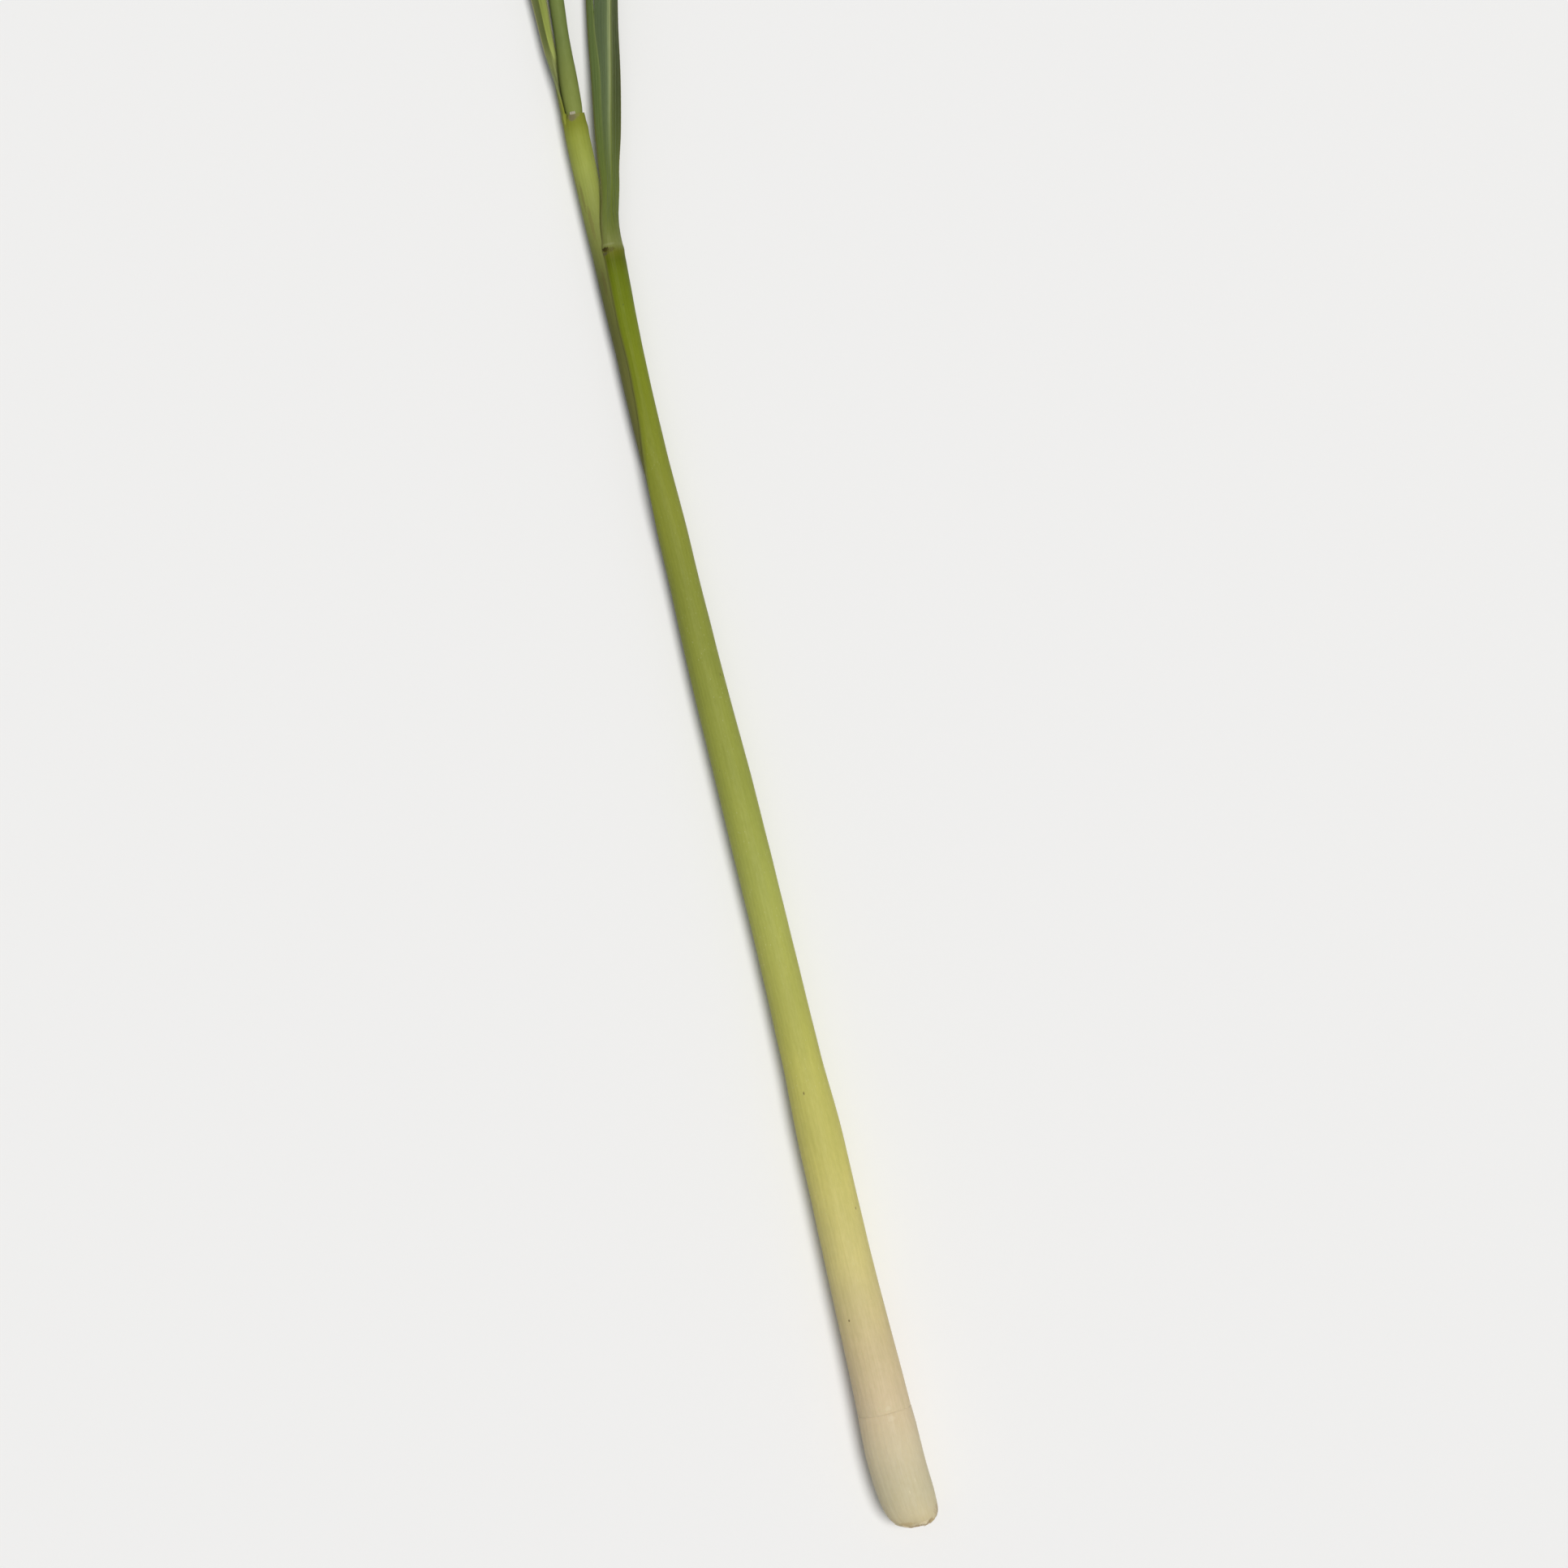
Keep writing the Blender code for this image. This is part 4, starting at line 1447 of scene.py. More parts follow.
@dataclass
class Leaf:
    """A leaf that grew as one piece: a rolled sheath, a collar and a folded blade.

    Attributes:
        name: The piece's name.
        node: The solid that it stands for.
        slot: The record's material slot.
        start: Where the sheath grows from the stem.
        collar: Where the blade begins.
        keel_angle: The keel's angle on the sheath.
        keel: The blade's keel, sideways and height.
        left: The left half.
        right: The right half.
        skin: The finish of its outer face.
        lining: The finish of its inner face.
        cut: The finish of its cut edges.
        wall: How thick it is.
        thin_wall: How thick its margins are.
        thinning: How far in from a margin it has its full thickness.
        ragged: How uneven its trimmed end is.
        dents: How deep the sheath's dents are.
        waves: How deep its finer waves are.
        ridge: How high the ridge under the collar is.
        tuck: How far the sheath's base is drawn in.
        pressed: How far its mouth or margin is pressed onto what lies inside.
        columns: Points round each half.
    """

    name: str
    node: str
    slot: str
    start: float
    collar: float
    keel_angle: float
    keel: Track
    left: Half
    right: Half
    skin: SkinFinish
    lining: SkinFinish
    cut: CutFinish
    wall: float = 0.56
    thin_wall: float = 0.24
    thinning: float = 2.6
    ragged: float = 0.22
    dents: float = 0.13
    waves: float = 0.05
    ridge: float = 0.14
    tuck: float = 0.1
    pressed: float = 0.0
    columns: int = 80

    def centre(self, station: float) -> Point:
        """The sheath's middle."""
        return middle(station)

    def radius(self, station: float) -> float:
        """The sheath's radius."""
        return SHEATH_1_RADIUS.value(station)

    def crease(self, station: float, share: float) -> float:
        """How far a share stands above the plain fold."""
        return 0.0

    def lane(self, station: float, share: float) -> float:
        """Where a share lies across the blade, from -1 to 1."""
        base = self.left.base if share < 0 else self.right.base
        return math.copysign(min(abs(share) / base, 1.0), share)

    def mouth(self, share: float) -> float:
        """How far the sheath's mouth lies past the collar at a share."""
        return 0.0

    def section(self, station: float) -> Callable[[float], LeafPoint]:
        """Find the leaf's section at a station.

        Args:
            station: Millimetres from the foot.

        Returns:
            A function that gives the point at a share.
        """
        centre, radius = self.centre(station), self.radius(station)
        blend = smooth((station - self.collar) / BLEND_LENGTH)
        keel = self.keel.at(station)
        halves = {sign: (near.edge.value(station), near.base, near.margin.at(station),
                         far.margin.at(station))
                  for sign, near, far in ((-1, self.left, self.right), (1, self.right, self.left))}

        def point(share: float) -> LeafPoint:
            """Find the point at a share of this section.

            Args:
                share: Where it lies, from -1 to 1.

            Returns:
                The point.
            """
            sign = -1 if share < 0 else 1
            edge, base, margin, other = halves[sign]
            turn = (edge - self.keel_angle) * abs(share)
            rolled = round_point(centre, radius, self.keel_angle + turn)
            across = GRAIN_RADIUS * math.radians(turn)
            left_over = radius * abs(math.radians(edge - self.keel_angle)) * (1 - abs(share))
            lane, out = self.lane(station, share), min(abs(share) / base, 1.0)
            if blend == 0:
                return LeafPoint(*rolled, across, left_over, lane)
            folded = folded_point(keel, margin, other, out)
            lifted = (folded[0], folded[1] + self.crease(station, share))
            spread = (Vector(margin) - Vector(keel)).length * (1 - out)
            sideways, height = (a + (b - a) * blend for a, b in zip(rolled, lifted))
            return LeafPoint(sideways, height, across + (sign * out * BLADE_GRAIN - across) * blend,
                             left_over + (spread - left_over) * blend, lane)

        return point

    def relief(self, station: float, point: LeafPoint) -> float:
        """Find how far the skin stands out: ribs, dents and the ridge under the collar.

        Args:
            station: Millimetres from the foot.
            point: The point on the section there.

        Returns:
            The relief in millimetres.
        """
        across = point.across
        sheath = smooth((self.collar - station) / 20)
        fine = ribs(across, 1.5 * rumple(across * 0.3, station * 0.02))
        dents = self.dents * rumple(across * 0.16, station * 0.03, self.collar) * sheath
        waves = self.waves * rumple(across * 0.5, station * 0.12, 4.0)
        grown = smooth(point.edge / 1.4) * smooth((station - self.start) / 2.0)
        ridge = self.ridge * hump(station, self.collar - 0.9, 1.4)
        tucked = self.tuck * (1 - smooth((station - self.start + 0.6) / 1.2))
        return (fine + dents + waves) * grown + ridge - tucked

    def row(self, skin: Skin, station: float, shares: Sequence[float]) -> list[Vert]:
        """Add one row of points.

        Args:
            skin: The skin to add to.
            station: Where it is.
            shares: The shares, from left to right.

        Returns:
            The row's vertices.
        """
        section = self.section(station)
        to_mouth = smooth((station - self.collar + MOUTH_LENGTH) / MOUTH_LENGTH)
        to_mouth *= station <= self.collar
        to_end = smooth((station - TRIMMED_END + END_LENGTH) / END_LENGTH)
        made = []
        for share in shares:
            point = section(share)
            shifted = station + self.mouth(share) * to_mouth
            ragged = self.ragged * abs(rumple(share * 25, 2.0, self.collar)) * to_end
            grown = smooth(point.edge / self.thinning)
            wall = self.thin_wall + (self.wall - self.thin_wall) * grown
            made.append(skin.vertex(
                place(shifted - ragged, point.sideways, point.height),
                (point.across, station, point.edge), point.lane, self.relief(station, point), wall))
        return made

    def sheath_stations(self) -> list[float]:
        """List the stations along the sheath, closer together at its base and its collar.

        Returns:
            The stations.
        """
        base = [self.start + step for step in (-0.6, -0.3, -0.1, 0.1, 0.4, 0.9, 1.8)]
        steps = round((self.collar - self.start - 12.5) / 3.2)
        body = evenly(self.start + 3.5, self.collar - MOUTH_LENGTH, steps)
        return base + body + evenly(self.collar - 7.6, self.collar, 12)

    def blade_stations(self) -> list[float]:
        """List the stations along the blade, closer together where it leaves the collar.

        Returns:
            The stations.
        """
        near = [self.collar + step for step in (
            0.0, 0.35, 0.8, 1.4, 2.2, 3.2, 4.4, 5.8, 7.4, 9.2, 11.2, 13.4, 15.8)]
        steps = round((TRIMMED_END - near[-1] - 3.9) / 2.4)
        body = evenly(near[-1] + 2.4, TRIMMED_END - END_LENGTH, steps)
        return near + body + [TRIMMED_END - 0.8, TRIMMED_END]

    def blade_patches(self) -> list[Callable[[float], list[float]]]:
        """The shares across each patch of the blade, by station."""
        steps = round(self.left.base * self.columns) + round(self.right.base * self.columns)
        return [lambda _station: evenly(-self.left.base, self.right.base, steps)]

    def make(self) -> None:
        """Build the leaf and hand it over."""
        skin = Skin(self.name)
        whole = evenly(-1.0, 1.0, 2 * self.columns)
        skin.lay([self.row(skin, station, whole) for station in self.sheath_stations()])
        for shares in self.blade_patches():
            skin.lay([self.row(skin, station, shares(station))
                      for station in self.blade_stations()])
        skin.weld()
        skin.thicken()
        finishes = [self.skin.material(), self.lining.material(), self.cut.material()]
        hand_over(skin.finish(finishes), self.slot, (self.node,))

    def line(self, share: float, first: float, last: float, step: float = 4.0) -> list[Vector]:
        """Follow a share along the leaf's skin.

        Args:
            share: The share.
            first: Where the line starts.
            last: Where it ends.
            step: How far apart its points are.

        Returns:
            The line's points, in metres.
        """
        points = []
        for station in evenly(first, last, max(round((last - first) / step), 2)):
            point = self.section(station)(share)
            points.append(place(station, point.sideways, max(point.height, LOWEST_LINE)))
        return points

    def make_prickles(self, name: str, margins: Sequence[float], finish: bpy.types.Material,
                      seed: int) -> None:
        """Grow the prickles of the blade's margins and hand them over.

        Args:
            name: The piece's name.
            margins: The share of each margin.
            finish: Their material.
            seed: What their sizes are drawn from.
        """
        lines = [self.line(share, self.collar + 14, TRIMMED_END - 1.0, 3.0) for share in margins]
        hand_over(PRICKLES.grow(name, line_mesh(name, lines), finish, {"Seed": seed}), self.slot)

    def make_nerves(self, name: str, shares: Sequence[float], finish: bpy.types.Material) -> None:
        """Grow the raised nerves of the blade and hand them over.

        Args:
            name: The piece's name.
            shares: The share that each follows.
            finish: Their material.
        """
        lines = [self.line(share, self.collar + 6, TRIMMED_END - 0.4) for share in shares]
        hand_over(NERVES.grow(name, line_mesh(name, lines), finish,
                              {"Radius": 0.06 * MM, "Sides": 8}), self.slot)


@dataclass
class OuterLeaf(Leaf):
    """The outer leaf, whose blade is creased and torn along its left half."""

    def crease(self, station: float, share: float) -> float:
        """Lift the left half along its crease.

        Args:
            station: Millimetres from the foot.
            share: Where it is across the leaf.

        Returns:
            How far the share stands above the plain fold.
        """
        if share >= 0:
            return 0.0
        crease = CREASE_SHARE.value(station)
        lift = -share / crease if -share < crease else (1 + share) / (1 - crease)
        return lift * CREASE_HEIGHT.value(station)

    def lane(self, station: float, share: float) -> float:
        """Find where a share lies across the blade.

        Args:
            station: Millimetres from the foot.
            share: The share.

        Returns:
            The lane, with the crease always halfway out on the left.
        """
        if share >= 0:
            return super().lane(station, share)
        crease = CREASE_SHARE.value(station)
        if -share < crease:
            return share / crease / 2
        return -0.5 - (-share - crease) / (1 - crease) / 2

    def relief(self, station: float, point: LeafPoint) -> float:
        """Press the free margin of the upper sheath down onto the leaf inside it.

        Args:
            station: Millimetres from the foot.
            point: The point on the section there.

        Returns:
            The relief in millimetres.
        """
        upper = smooth((station - PRESS_START) / 14) * smooth((self.collar + 6 - station) / 6)
        pressed = self.pressed * (1 - smooth(point.edge / 2.2)) * upper * (point.across < 0)
        return super().relief(station, point) - pressed

    def mouth(self, share: float) -> float:
        """Past the blade's base the mouth dips a little and is uneven."""
        beyond = smooth((share - self.right.base) / 0.2)
        return beyond * (-1.6 + 0.5 * rumple(share * 9, 1.0))

    def tear(self, station: float, side: int) -> float:
        """Find the share at which one side of the tear runs.

        Args:
            station: Millimetres from the foot.
            side: -1 for the side nearer the keel, 1 for the outer one.

        Returns:
            The share, alike for both before the tear starts.
        """
        width = self.keel.at(station)[0] - self.left.margin.at(station)[0]
        half = TEAR_WIDTH.value(station) / 2
        ragged = 0.1 * rumple(station * 0.45, side * 5.0) * smooth(half / 0.4)
        return CREASE_SHARE.value(station) + side * (half + ragged) / width

    def blade_patches(self) -> list[Callable[[float], list[float]]]:
        """Part the blade along its tear.

        Returns:
            The shares across the ribbon left of it and across the rest, by station.
        """
        half = self.columns // 2
        right = evenly(0.0, self.right.base, half)[1:]
        return [lambda station: evenly(-1.0, -self.tear(station, 1), half),
                lambda station: evenly(-self.tear(station, -1), 0.0, half) + right]


@dataclass
class InnerLeaf(Leaf):
    """The second leaf, which comes out of the outer one and leans left."""

    def centre(self, station: float) -> Point:
        """The sheath's middle."""
        return sheath_2_centre(station)

    def radius(self, station: float) -> float:
        """The sheath's radius."""
        return sheath_2_radius(station)

    def mouth(self, share: float) -> float:
        """Beside the blade the mouth dips a little and is uneven."""
        right, left = (share - self.right.base) / 0.2, (-share - self.left.base) / 0.2
        return max(smooth(right), smooth(left)) * (0.25 * rumple(share * 14, 3.0) - 0.5)

    def relief(self, station: float, point: LeafPoint) -> float:
        """Close the mouth onto the shoot beside the blade.

        Args:
            station: Millimetres from the foot.
            point: The point on the section there.

        Returns:
            The relief in millimetres.
        """
        beside = (station <= self.collar) * (abs(point.lane) == 1.0)
        closed = self.pressed * smooth((station - self.collar + 5.0) / 5.0) * beside
        return super().relief(station, point) - closed


@dataclass
class Ligule:
    """The thin membrane that stands at a sheath's mouth, torn along its top.

    Attributes:
        name: The piece's name.
        slot: The record's material slot.
        centre: The mouth's middle.
        radius: Its own radius.
        station: Where it grows.
        first: The angle at which it starts.
        last: The angle at which it ends.
        height: How far it stands.
        seed: What its torn edge is drawn from.
        finish: Its finish.
        teeth: How many teeth its torn edge has, about.
        sunk: How far down the sheath it is rooted.
        flare: How far its top leans out.
        crumple: How far it is crumpled in and out.
        wall: How thick it is.
        columns: Steps round it.
        rows: Steps up it.
    """

    name: str
    slot: str
    centre: Point
    radius: float
    station: float
    first: float
    last: float
    height: float
    seed: float
    finish: MembraneFinish
    teeth: float = 23.0
    sunk: float = 0.6
    flare: float = 0.14
    crumple: float = 0.07
    wall: float = 0.11
    columns: int = 60
    rows: int = 7

    def point(self, skin: Skin, share: float, up: float) -> Vert:
        """Add one point of the membrane.

        Args:
            skin: The skin to add to.
            share: How far round it is, 0 to 1.
            up: How far up it is, 0 to 1.

        Returns:
            The vertex.
        """
        angle = self.first + (self.last - self.first) * share
        torn = (0.62 + 0.38 * rumple(share * 7, self.seed)
                + 0.3 * rumple(share * self.teeth, self.seed, 5.0))
        tall = self.height * max(torn, 0.15) * smooth(share / 0.1) * smooth((1 - share) / 0.1)
        crumpled = self.crumple * rumple(share * 11, up * 2, self.seed)
        out = self.radius + self.flare * up * up + crumpled
        at = self.station - self.sunk + (self.sunk + tall) * up
        spot = place(at, *round_point(self.centre, out, angle))
        return skin.vertex(spot, (angle, up, 1.0), 0.0, 0.0, self.wall)

    def make(self) -> None:
        """Build the membrane and hand it over."""
        skin = Skin(self.name)
        skin.lay([[self.point(skin, column / self.columns, row / self.rows)
                   for column in range(self.columns + 1)] for row in range(self.rows + 1)])
        skin.thicken()
        hand_over(skin.finish([self.finish.material()] * len(Face)), self.slot)


# ---------------------------------------------------------------- the young shoot


@dataclass(frozen=True)
class Scroll:
    """One young leaf rolled into a scroll along the shoot.

    Attributes:
        name: The piece's name.
        share: Its outer radius as a share of the shoot's.
        turns: How many times it is wound.
        inner_share: Its inner radius as a share of its outer one.
        wall: The leaf's thickness in millimetres.
        core_share: The radius of what it is wound round, as a share of its own.
        seam: How far round its free margin lies, in radians.
    """

    name: str
    share: float
    turns: float
    inner_share: float
    wall: float
    core_share: float
    seam: float


@dataclass
class YoungShoot:
    """The innermost leaves: a tight spear inside the second leaf, then out in the open.

    Attributes:
        skin: The finish of the leaves.
        scrolls: The rolled leaves, the outermost first.
    """

    skin: SkinFinish
    scrolls: tuple[Scroll, ...]

    def girth(self, station: float) -> tuple[Point, float]:
        """Find the shoot's middle and radius.

        Args:
            station: Millimetres from the foot.

        Returns:
            The middle, sideways and height, and the radius.
        """
        if station < SHOOT_LEAVES:
            return sheath_2_centre(station), inside(sheath_2_radius(station))
        sideways, height, radius = YOUNG_SHOOT.at(station)
        return (sideways, height), radius

    def path(self, scroll: Scroll) -> bpy.types.Mesh:
        """Lay the path that a scroll is swept along.

        Args:
            scroll: The scroll.

        Returns:
            A mesh of one line, with the scroll's girth at each point.
        """
        stations = evenly(NODE_3, SHOOT_LEAVES, 45)[:-1] + evenly(SHOOT_LEAVES, 450, 32)[:-1]
        stations += evenly(450, TRIMMED_END, 34)
        points, girths = [], []
        for station in stations:
            centre, radius = self.girth(station)
            points.append(place(station, *centre))
            girths.append(radius * scroll.share * MM * (1 + 0.02 * rumple(station * 0.05, 3.0)))
        mesh = line_mesh(scroll.name, [points])
        mesh.attributes.new("girth", "FLOAT", "POINT").data.foreach_set("value", girths)
        return mesh

    def make(self) -> None:
        """Roll each leaf and hand them over."""
        dressed = self.skin.material()
        for at, scroll in enumerate(self.scrolls):
            piece = ROLLS.grow(scroll.name, self.path(scroll), dressed, {
                "Turns": scroll.turns, "Inner Share": scroll.inner_share, "Wall": scroll.wall * MM,
                "Points": 72, "Core Share": scroll.core_share, "Seam": scroll.seam})
            hand_over(piece, "shoot", ("young_shoot",) if at == 0 else ())


# ---------------------------------------------------------------- the setting


@dataclass(frozen=True)
class Light:
    """A far, soft light that shines alike on the whole floor.

    Attributes:
        name: Its name.
        spot: Where it hangs from the point that it shines at, in metres.
        spread: How wide it looks from there, in radians.
        power: Its strength.
        colour: Its colour.
    """

    name: str
    spot: tuple[float, float, float]
    spread: float
    power: float
    colour: Colour

    def hang(self, aim: Vector) -> None:
        """Hang it.

        Args:
            aim: The point that it shines at.
        """
        lamp = bpy.data.lights.new(self.name, "SUN")
        lamp.angle, lamp.energy, lamp.color = self.spread, self.power, self.colour
        thing = new_object(self.name, lamp)
        thing.location = aim + Vector(self.spot)
        thing.rotation_euler = (-Vector(self.spot)).to_track_quat("-Z", "Y").to_euler()


@dataclass
class Studio:
    """A pale floor, soft light and a camera straight above.

    Attributes:
        aim_station: The station that the camera looks down on.
        aim_sideways: How far across it looks.
        turn: How far the stalk leans in the picture, in radians.
        width: The width that the picture takes in at the stalk's middle, in metres.
        stalk_height: How high that middle lies.
        height: The camera's height.
        sensor: The camera's sensor width, in millimetres.
        lights: The lights.
        sky_colour: The colour of the light from all round.
        sky_light: How strongly that lights the stalk.
        sky_seen: How bright it looks in the picture.
        floor_grey: How pale the floor is.
        floor_reach: How far the floor goes each way, in metres.
    """

    aim_station: float = 215.1
    aim_sideways: float = 12.6
    turn: float = -0.2308
    width: float = 0.449
    stalk_height: float = 0.007
    height: float = 1.3
    sensor: float = 36.0
    lights: tuple[Light, ...] = (
        Light("key", (0.26, -0.04, 1.1), 0.4, 2.45, (1.0, 0.99, 0.97)),
        Light("fill", (-0.3, 0.2, 1.1), 0.8, 0.12, (0.96, 0.98, 1.0)))
    sky_colour: Colour = (0.97, 0.98, 1.0)
    sky_light: float = 0.22
    sky_seen: float = 0.86
    floor_grey: float = 0.86
    floor_reach: float = 12.0

    def make(self) -> None:
        """Set up the floor, the camera, the lights and the light from all round."""
        self.make_floor()
        self.make_camera()
        for light in self.lights:
            light.hang(place(self.aim_station, self.aim_sideways, 0.0))
        world = bpy.context.scene.world or bpy.data.worlds.new("studio")
        bpy.context.scene.world = world
        world.use_nodes = True
        sky = next(node for node in world.node_tree.nodes if node.type == "BACKGROUND")
        desk = NodeDesk(world.node_tree)
        seen = desk.get("ShaderNodeLightPath", output="Is Camera Ray")
        desk.fill(sky, {"Color": self.sky_colour,
                        "Strength": desk.scaled(seen, 0.0, 1.0, self.sky_light, self.sky_seen)})

    def make_floor(self) -> None:
        """Lay a wide matt floor."""
        far, level = self.floor_reach, CAD_BOX[0].z
        corners = [(x * far, y * far, level) for x, y in ((-1, -1), (1, -1), (1, 1), (-1, 1))]
        mesh = bpy.data.meshes.new("floor")
        mesh.from_pydata(corners, [], [(0, 1, 2, 3)])
        material, desk, shader = new_material("floor_white")
        desk.fill(shader, {"Base Color": (self.floor_grey,) * 3, "Roughness": 0.8,
                           "Specular IOR Level": 0.2})
        mesh.materials.append(material)
        new_object("floor", mesh)

    def make_camera(self) -> None:
        """Stand the camera straight above, turned so that the stalk leans left."""
        lens = bpy.data.cameras.new("camera")
        lens.sensor_width = self.sensor
        lens.lens = self.sensor * (self.height - self.stalk_height) / self.width
        thing = new_object("camera", lens)
        thing.location = place(self.aim_station, self.aim_sideways, self.height / MM)
        thing.rotation_euler = (0.0, 0.0, self.turn)
        bpy.context.scene.camera = thing
        bpy.context.scene.view_settings.view_transform = "Standard"


# ---------------------------------------------------------------- the stalk's colours

CREAM = tones(
    (0, 201, 187, 148), (4, 205, 194, 160), (10, 202, 193, 161), (24, 207, 195, 164),
    (38, 209, 191, 158), (54, 205, 188, 146), (80, 205, 194, 129), (108, 198, 191, 110),
    (145, 180, 179, 94), (186, 166, 171, 87), (215, 154, 160, 75), (260, 137, 144, 63),
    (300, 136, 142, 55), (335, 123, 133, 36), (358, 112, 125, 26), (368, 102, 115, 20),
    (373.4, 88, 97, 12), (375.2, 112, 113, 34), (376.2, 122, 128, 70), (377.4, 122, 129, 72),
    (379.5, 108, 117, 56), (384, 99, 111, 46), (396, 98, 112, 46), (430, 92, 106, 50),
    (550, 84, 98, 52))

INNER_TONES = tones(
    (0, 216, 208, 160), (200, 188, 186, 112), (300, 112, 112, 58), (350, 98, 100, 52),
    (368, 104, 108, 56), (378, 124, 130, 68), (390, 144, 152, 78), (400, 154, 163, 80),
    (409, 148, 156, 66), (414, 130, 136, 46), (430, 126, 134, 72), (550, 118, 128, 66))

# Lighter from 414 to 440, where the second blade's fold lies in shade: painted light.
BLADE_LINING = tones(
    (0, 216, 208, 160), (300, 170, 176, 110), (414, 150, 156, 104), (422, 168, 175, 118),
    (432, 168, 176, 112), (440, 150, 160, 92), (550, 126, 138, 76))

SHOOT_TONES = tones(
    (0, 220, 214, 170), (300, 170, 178, 100), (410, 140, 150, 76), (418, 128, 139, 72),
    (426, 120, 131, 68), (437, 113, 126, 68), (500, 114, 130, 68), (550, 106, 124, 64))

FOOT_SKIN = SkinFinish(
    name="foot_skin", along=CREAM, dark=(0.8, 0.76, 0.66), depth=0.035, spacing=0.55,
    roughness=0.5, glow=0.12, speck_share=0.06, margin_width=0.01,
    marks=(
        Mark(10.9, 1.0, 0.5, 0.1, paint(228, 218, 190), 0.5),
        Mark(13.8, 2.9, 0.6, 0.1, paint(228, 218, 190), 0.5),
        Mark(32.4, 1.1, 0.8, 0.9, paint(222, 210, 180), 0.35, 1.8),
        # The next two marks darken the right flank to a brownish pink: painted shade.
        Mark(3.0, 9.0, 3.0, 3.0, paint(150, 122, 96), 0.35, 1.8),
        Mark(11.0, 10.5, 6.0, 1.6, paint(150, 126, 104), 0.3, 1.4),
        Mark(1.6, -3.5, 0.8, 2.6, paint(178, 148, 98), 0.4, 1.8),
        Mark(0.9, 2.2, 0.8, 1.9, paint(226, 212, 176), 0.75, 1.8),
        Mark(1.2, 5.0, 0.6, 1.4, paint(160, 130, 84), 0.4, 1.8)))

SHEATH_SKIN = SkinFinish(
    name="outer_leaf_skin", along=CREAM, spacing=0.5, roughness=0.52, glow=0.05, speck_share=0.04,
    # Its pale flecks are wax and painted glints.
    fleck_share=0.16, margin=paint(98, 98, 52), margin_width=0.9, blade_from=386.0,
    blade_over=40.0,
    # The blade's lanes hold painted light and shade over its own greens: the left half painted
    # lighter, the right half painted darker, a painted highlight along the pale keel's left side,
    # and a painted highlight on the crease with painted shade in the groove beside it.
    lanes=tones(
        (-1.0, 118, 132, 82), (-0.94, 108, 126, 74), (-0.56, 112, 130, 74), (-0.5, 132, 146, 88),
        (-0.46, 96, 111, 74), (-0.25, 99, 114, 80), (-0.1, 110, 125, 86), (-0.03, 136, 148, 100),
        (0.01, 158, 168, 118), (0.12, 112, 122, 72), (0.3, 78, 88, 38), (0.6, 64, 74, 28),
        (0.9, 60, 70, 24), (1.0, 84, 92, 46)),
    marks=(
        Mark(375.5, -3.9, 0.7, 1.5, paint(48, 36, 12), 0.95, 1.6),
        Mark(375.2, -2.4, 0.8, 2.4, paint(80, 74, 24), 0.55, 1.6),
        Mark(374.3, -4.4, 0.45, 1.3, paint(84, 78, 56), 0.8, 1.6),
        Mark(376.8, -2.0, 0.35, 2.6, paint(134, 140, 90), 0.6, 1.2),
        Mark(62.0, -6.5, 0.4, 0.25, paint(96, 72, 40), 0.8),
        Mark(359.0, -1.2, 0.3, 0.3, paint(84, 96, 30), 0.8),
        Mark(35.4, -2.1, 0.7, 0.8, paint(222, 210, 180), 0.35, 1.8)))

SHEATH_LINING = SkinFinish(
    name="outer_leaf_lining",
    along=tuple((s, tuple(min(c * 1.06, 1.0) for c in tone)) for s, tone in CREAM), spacing=0.6,
    roughness=0.46, margin_width=0.5, blade_from=378.0, blade_over=16.0,
    lanes=tones(
        (-1.0, 120, 134, 72), (-0.1, 100, 118, 52), (0.0, 150, 158, 110), (0.1, 100, 118, 52),
        (1.0, 118, 130, 70)))

INNER_SKIN = SkinFinish(
    name="inner_leaf_skin", along=INNER_TONES, spacing=0.5, glow=0.05, speck_share=0.04,
    margin=paint(150, 148, 100), margin_width=0.5, blade_from=418.0, blade_over=10.0,
    lanes=tones(
        (-1.0, 118, 128, 84), (-0.6, 102, 116, 70), (-0.1, 112, 120, 82), (0.1, 116, 124, 86),
        (0.6, 106, 118, 76), (1.0, 116, 124, 86)),
    marks=(
        Mark(415.3, 11.2, 1.3, 2.9, paint(118, 108, 88), 0.75, 1.5),
        Mark(415.7, 14.8, 0.8, 1.5, paint(130, 128, 76), 0.6, 1.0),
        Mark(415.6, 8.2, 1.0, 0.6, paint(72, 68, 44), 0.5, 1.6),
        Mark(396.0, 5.6, 5.0, 0.5, paint(128, 112, 58), 0.4, 1.4),
        Mark(409.0, 4.2, 6.0, 0.7, paint(150, 132, 92), 0.5, 1.4),
        Mark(392.0, 8.2, 5.0, 0.9, paint(112, 104, 58), 0.45, 1.8),
        Mark(384.0, 10.0, 5.5, 1.2, paint(118, 108, 62), 0.4, 1.8),
        Mark(366.0, 9.6, 4.0, 1.0, paint(90, 80, 46), 0.4, 1.8)))

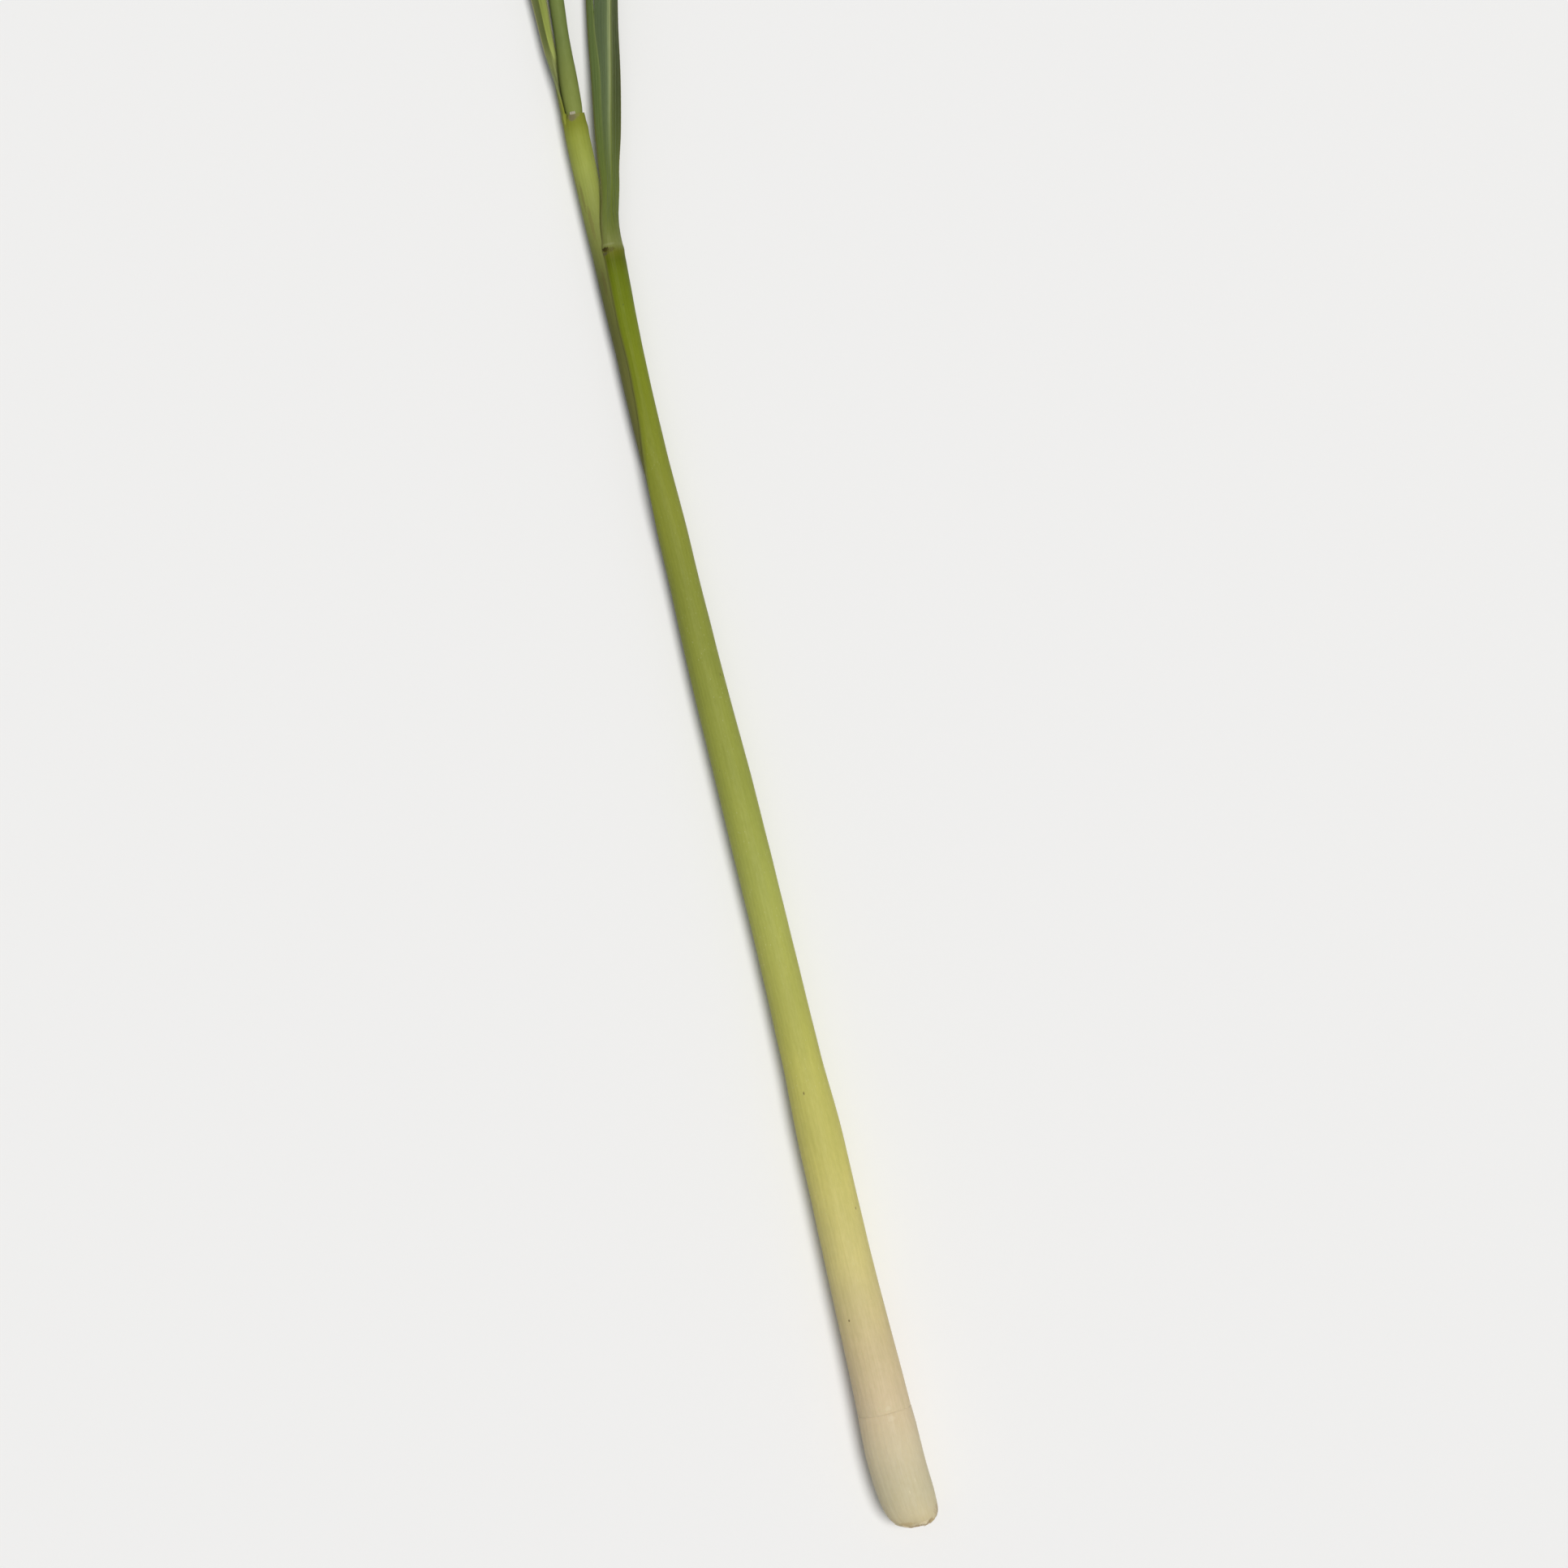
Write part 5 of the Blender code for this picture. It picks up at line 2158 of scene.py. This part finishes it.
INNER_LINING = SkinFinish(
    name="inner_leaf_lining", along=BLADE_LINING, spacing=0.55, margin_width=0.5,
    margin=paint(118, 124, 82), blade_from=426.0, blade_over=16.0,
    # The walls are painted light where they lie in shade in the fold, and a thin band at the keel
    # is painted dark: painted light and painted shade.
    lanes=tones(
        (-1.0, 180, 188, 120), (-0.85, 170, 182, 98), (-0.2, 164, 176, 92), (-0.04, 90, 98, 44),
        (0.04, 78, 86, 36), (0.16, 106, 114, 66), (0.7, 114, 121, 78), (1.0, 124, 130, 88)))

SHOOT_SKIN = SkinFinish(
    name="shoot_skin", along=SHOOT_TONES, spacing=0.5, roughness=0.6, speck_share=0.02,
    margin_width=0.01, streaks=0.2)

STEM_CUT = CutFinish(
    "stem_cut", paint(214, 198, 158), paint(190, 166, 116), paint(150, 112, 62), 0.45)
LEAF_CUT = CutFinish(
    "leaf_cut", paint(176, 180, 130), paint(150, 156, 100), paint(150, 130, 84), 0.35)
DRY_FIBRE = MembraneFinish("dry_fibre", paint(222, 208, 176), paint(170, 134, 84))
LIGULE_SKIN = MembraneFinish("ligule_membrane", paint(168, 164, 138), paint(112, 102, 80))
PRICKLE_SKIN = MembraneFinish("prickle_green", paint(150, 158, 110), paint(120, 130, 84))
NERVE_SKIN = MembraneFinish("nerve_pale", paint(92, 106, 60), paint(84, 98, 52))


# ---------------------------------------------------------------- the stalk

NERVES, PRICKLES, ROLLS = NerveTree(), PrickleTree(), RollTree()


def outer_leaf() -> OuterLeaf:
    """Give the outer leaf its own lines.

    Returns:
        The leaf.
    """
    return OuterLeaf(
        name="outer_leaf", node="leaf_1", slot="outer_leaf", start=NODE_1 + 0.1, collar=COLLAR_1,
        keel_angle=30.0,
        keel=Track((
            (COLLAR_1, 0.7, 9.0), (395, 4.2, 10.2), (408, 6.8, 10.5), (424, 10.6, 10.6),
            (440, 14.3, 10.6), (500, 28.4, 9.6), (550, 39.0, 7.6))),
        left=Half(
            Track((
                (NODE_1, -165), (200, -165), (285, -105), (306, -68), (318, -38), (330, -20),
                (342, -15), (354, -21), (366, -20), (COLLAR_1, -20), (378, -12), (381, -8))), 1.0,
            Track((
                (COLLAR_1, -2.2, 9.4), (383, -0.5, 9.5), (388, 0.25, 9.35), (395, 0.9, 8.9),
                (408, 2.4, 7.5), (424, 4.9, 5.9), (440, 7.4, 4.7), (500, 19.6, 1.8),
                (550, 31.6, 0.25)))),
        right=Half(
            Track(((NODE_1, 190), (345, 190), (COLLAR_1, 180))), 0.5,
            Track((
                (COLLAR_1, 3.2, 5.4), (383, 4.7, 6.6), (395, 6.4, 5.9), (408, 9.9, 4.9),
                (424, 13.5, 3.8), (440, 16.5, 3.1), (500, 30.8, 1.4), (550, 41.8, -0.1)))),
        skin=SHEATH_SKIN, lining=SHEATH_LINING, cut=LEAF_CUT, pressed=0.62)


def inner_leaf() -> InnerLeaf:
    """Give the second leaf its own lines.

    Returns:
        The leaf.
    """
    return InnerLeaf(
        name="inner_leaf", node="leaf_2", slot="inner_leaf", start=NODE_2, collar=COLLAR_2,
        keel_angle=-120.0,
        keel=Track((
            (COLLAR_2, -5.3, 3.2), (422, -4.7, 3.0), (427, -4.45, 2.7), (431, -4.75, 2.0),
            (438, -5.05, 1.3), (450, -4.8, 0.9), (500, -6.9, 0.0), (550, -10.6, -0.98))),
        left=Half(
            Track(((NODE_2, -245), (550, -245))), 0.3,
            Track((
                (COLLAR_2, -3.2, 1.6), (428, -2.9, 1.6), (438, -2.9, 3.4), (450, -2.2, 4.3),
                (500, -3.6, 4.7), (550, -7.0, 4.4)))),
        right=Half(
            Track(((NODE_2, 105), (550, 105))), 0.3,
            Track((
                (COLLAR_2, -5.4, 6.9), (428, -6.0, 6.3), (438, -6.4, 5.9), (450, -6.6, 5.5),
                (500, -9.3, 5.1), (550, -13.6, 4.6)))), skin=INNER_SKIN, lining=INNER_LINING,
        cut=LEAF_CUT, columns=60, pressed=0.85)


def main() -> None:
    """Build the stalk, its finer pieces and the setting."""
    logging.basicConfig(level=logging.INFO, format="%(name)s %(message)s")
    Studio().make()
    Foot(FOOT_SKIN, STEM_CUT, DRY_FIBRE).make()
    outer, inner = outer_leaf(), inner_leaf()
    outer.make()
    inner.make()
    YoungShoot(SHOOT_SKIN, (
        Scroll("third_leaf", 1.0, 1.35, 0.84, 0.2, 0.8, -2.9),
        Scroll("heart_leaf", 0.74, 2.4, 0.3, 0.24, 0.2, 2.0))).make()
    prickle = PRICKLE_SKIN.material()
    outer.make_prickles("outer_leaf_prickles", (-1.0, outer.right.base), prickle, 4)
    inner.make_prickles("inner_leaf_prickles", (-inner.left.base, inner.right.base), prickle, 9)
    outer.make_nerves("outer_leaf_nerves", (-0.02, -0.17, -0.32, 0.13, 0.26, 0.38),
                      NERVE_SKIN.material())
    Ligule("outer_ligule", "outer_leaf", middle(COLLAR_1), 3.95, COLLAR_1, -18.0, 175.0,
           1.5, 4.0, LIGULE_SKIN).make()
    Ligule("inner_ligule", "inner_leaf", sheath_2_centre(COLLAR_2), 2.77, COLLAR_2 - 0.2,
           -24.0, 9.0, 0.85, 12.0, LIGULE_SKIN, 9.0).make()


if __name__ == "__main__":
    main()
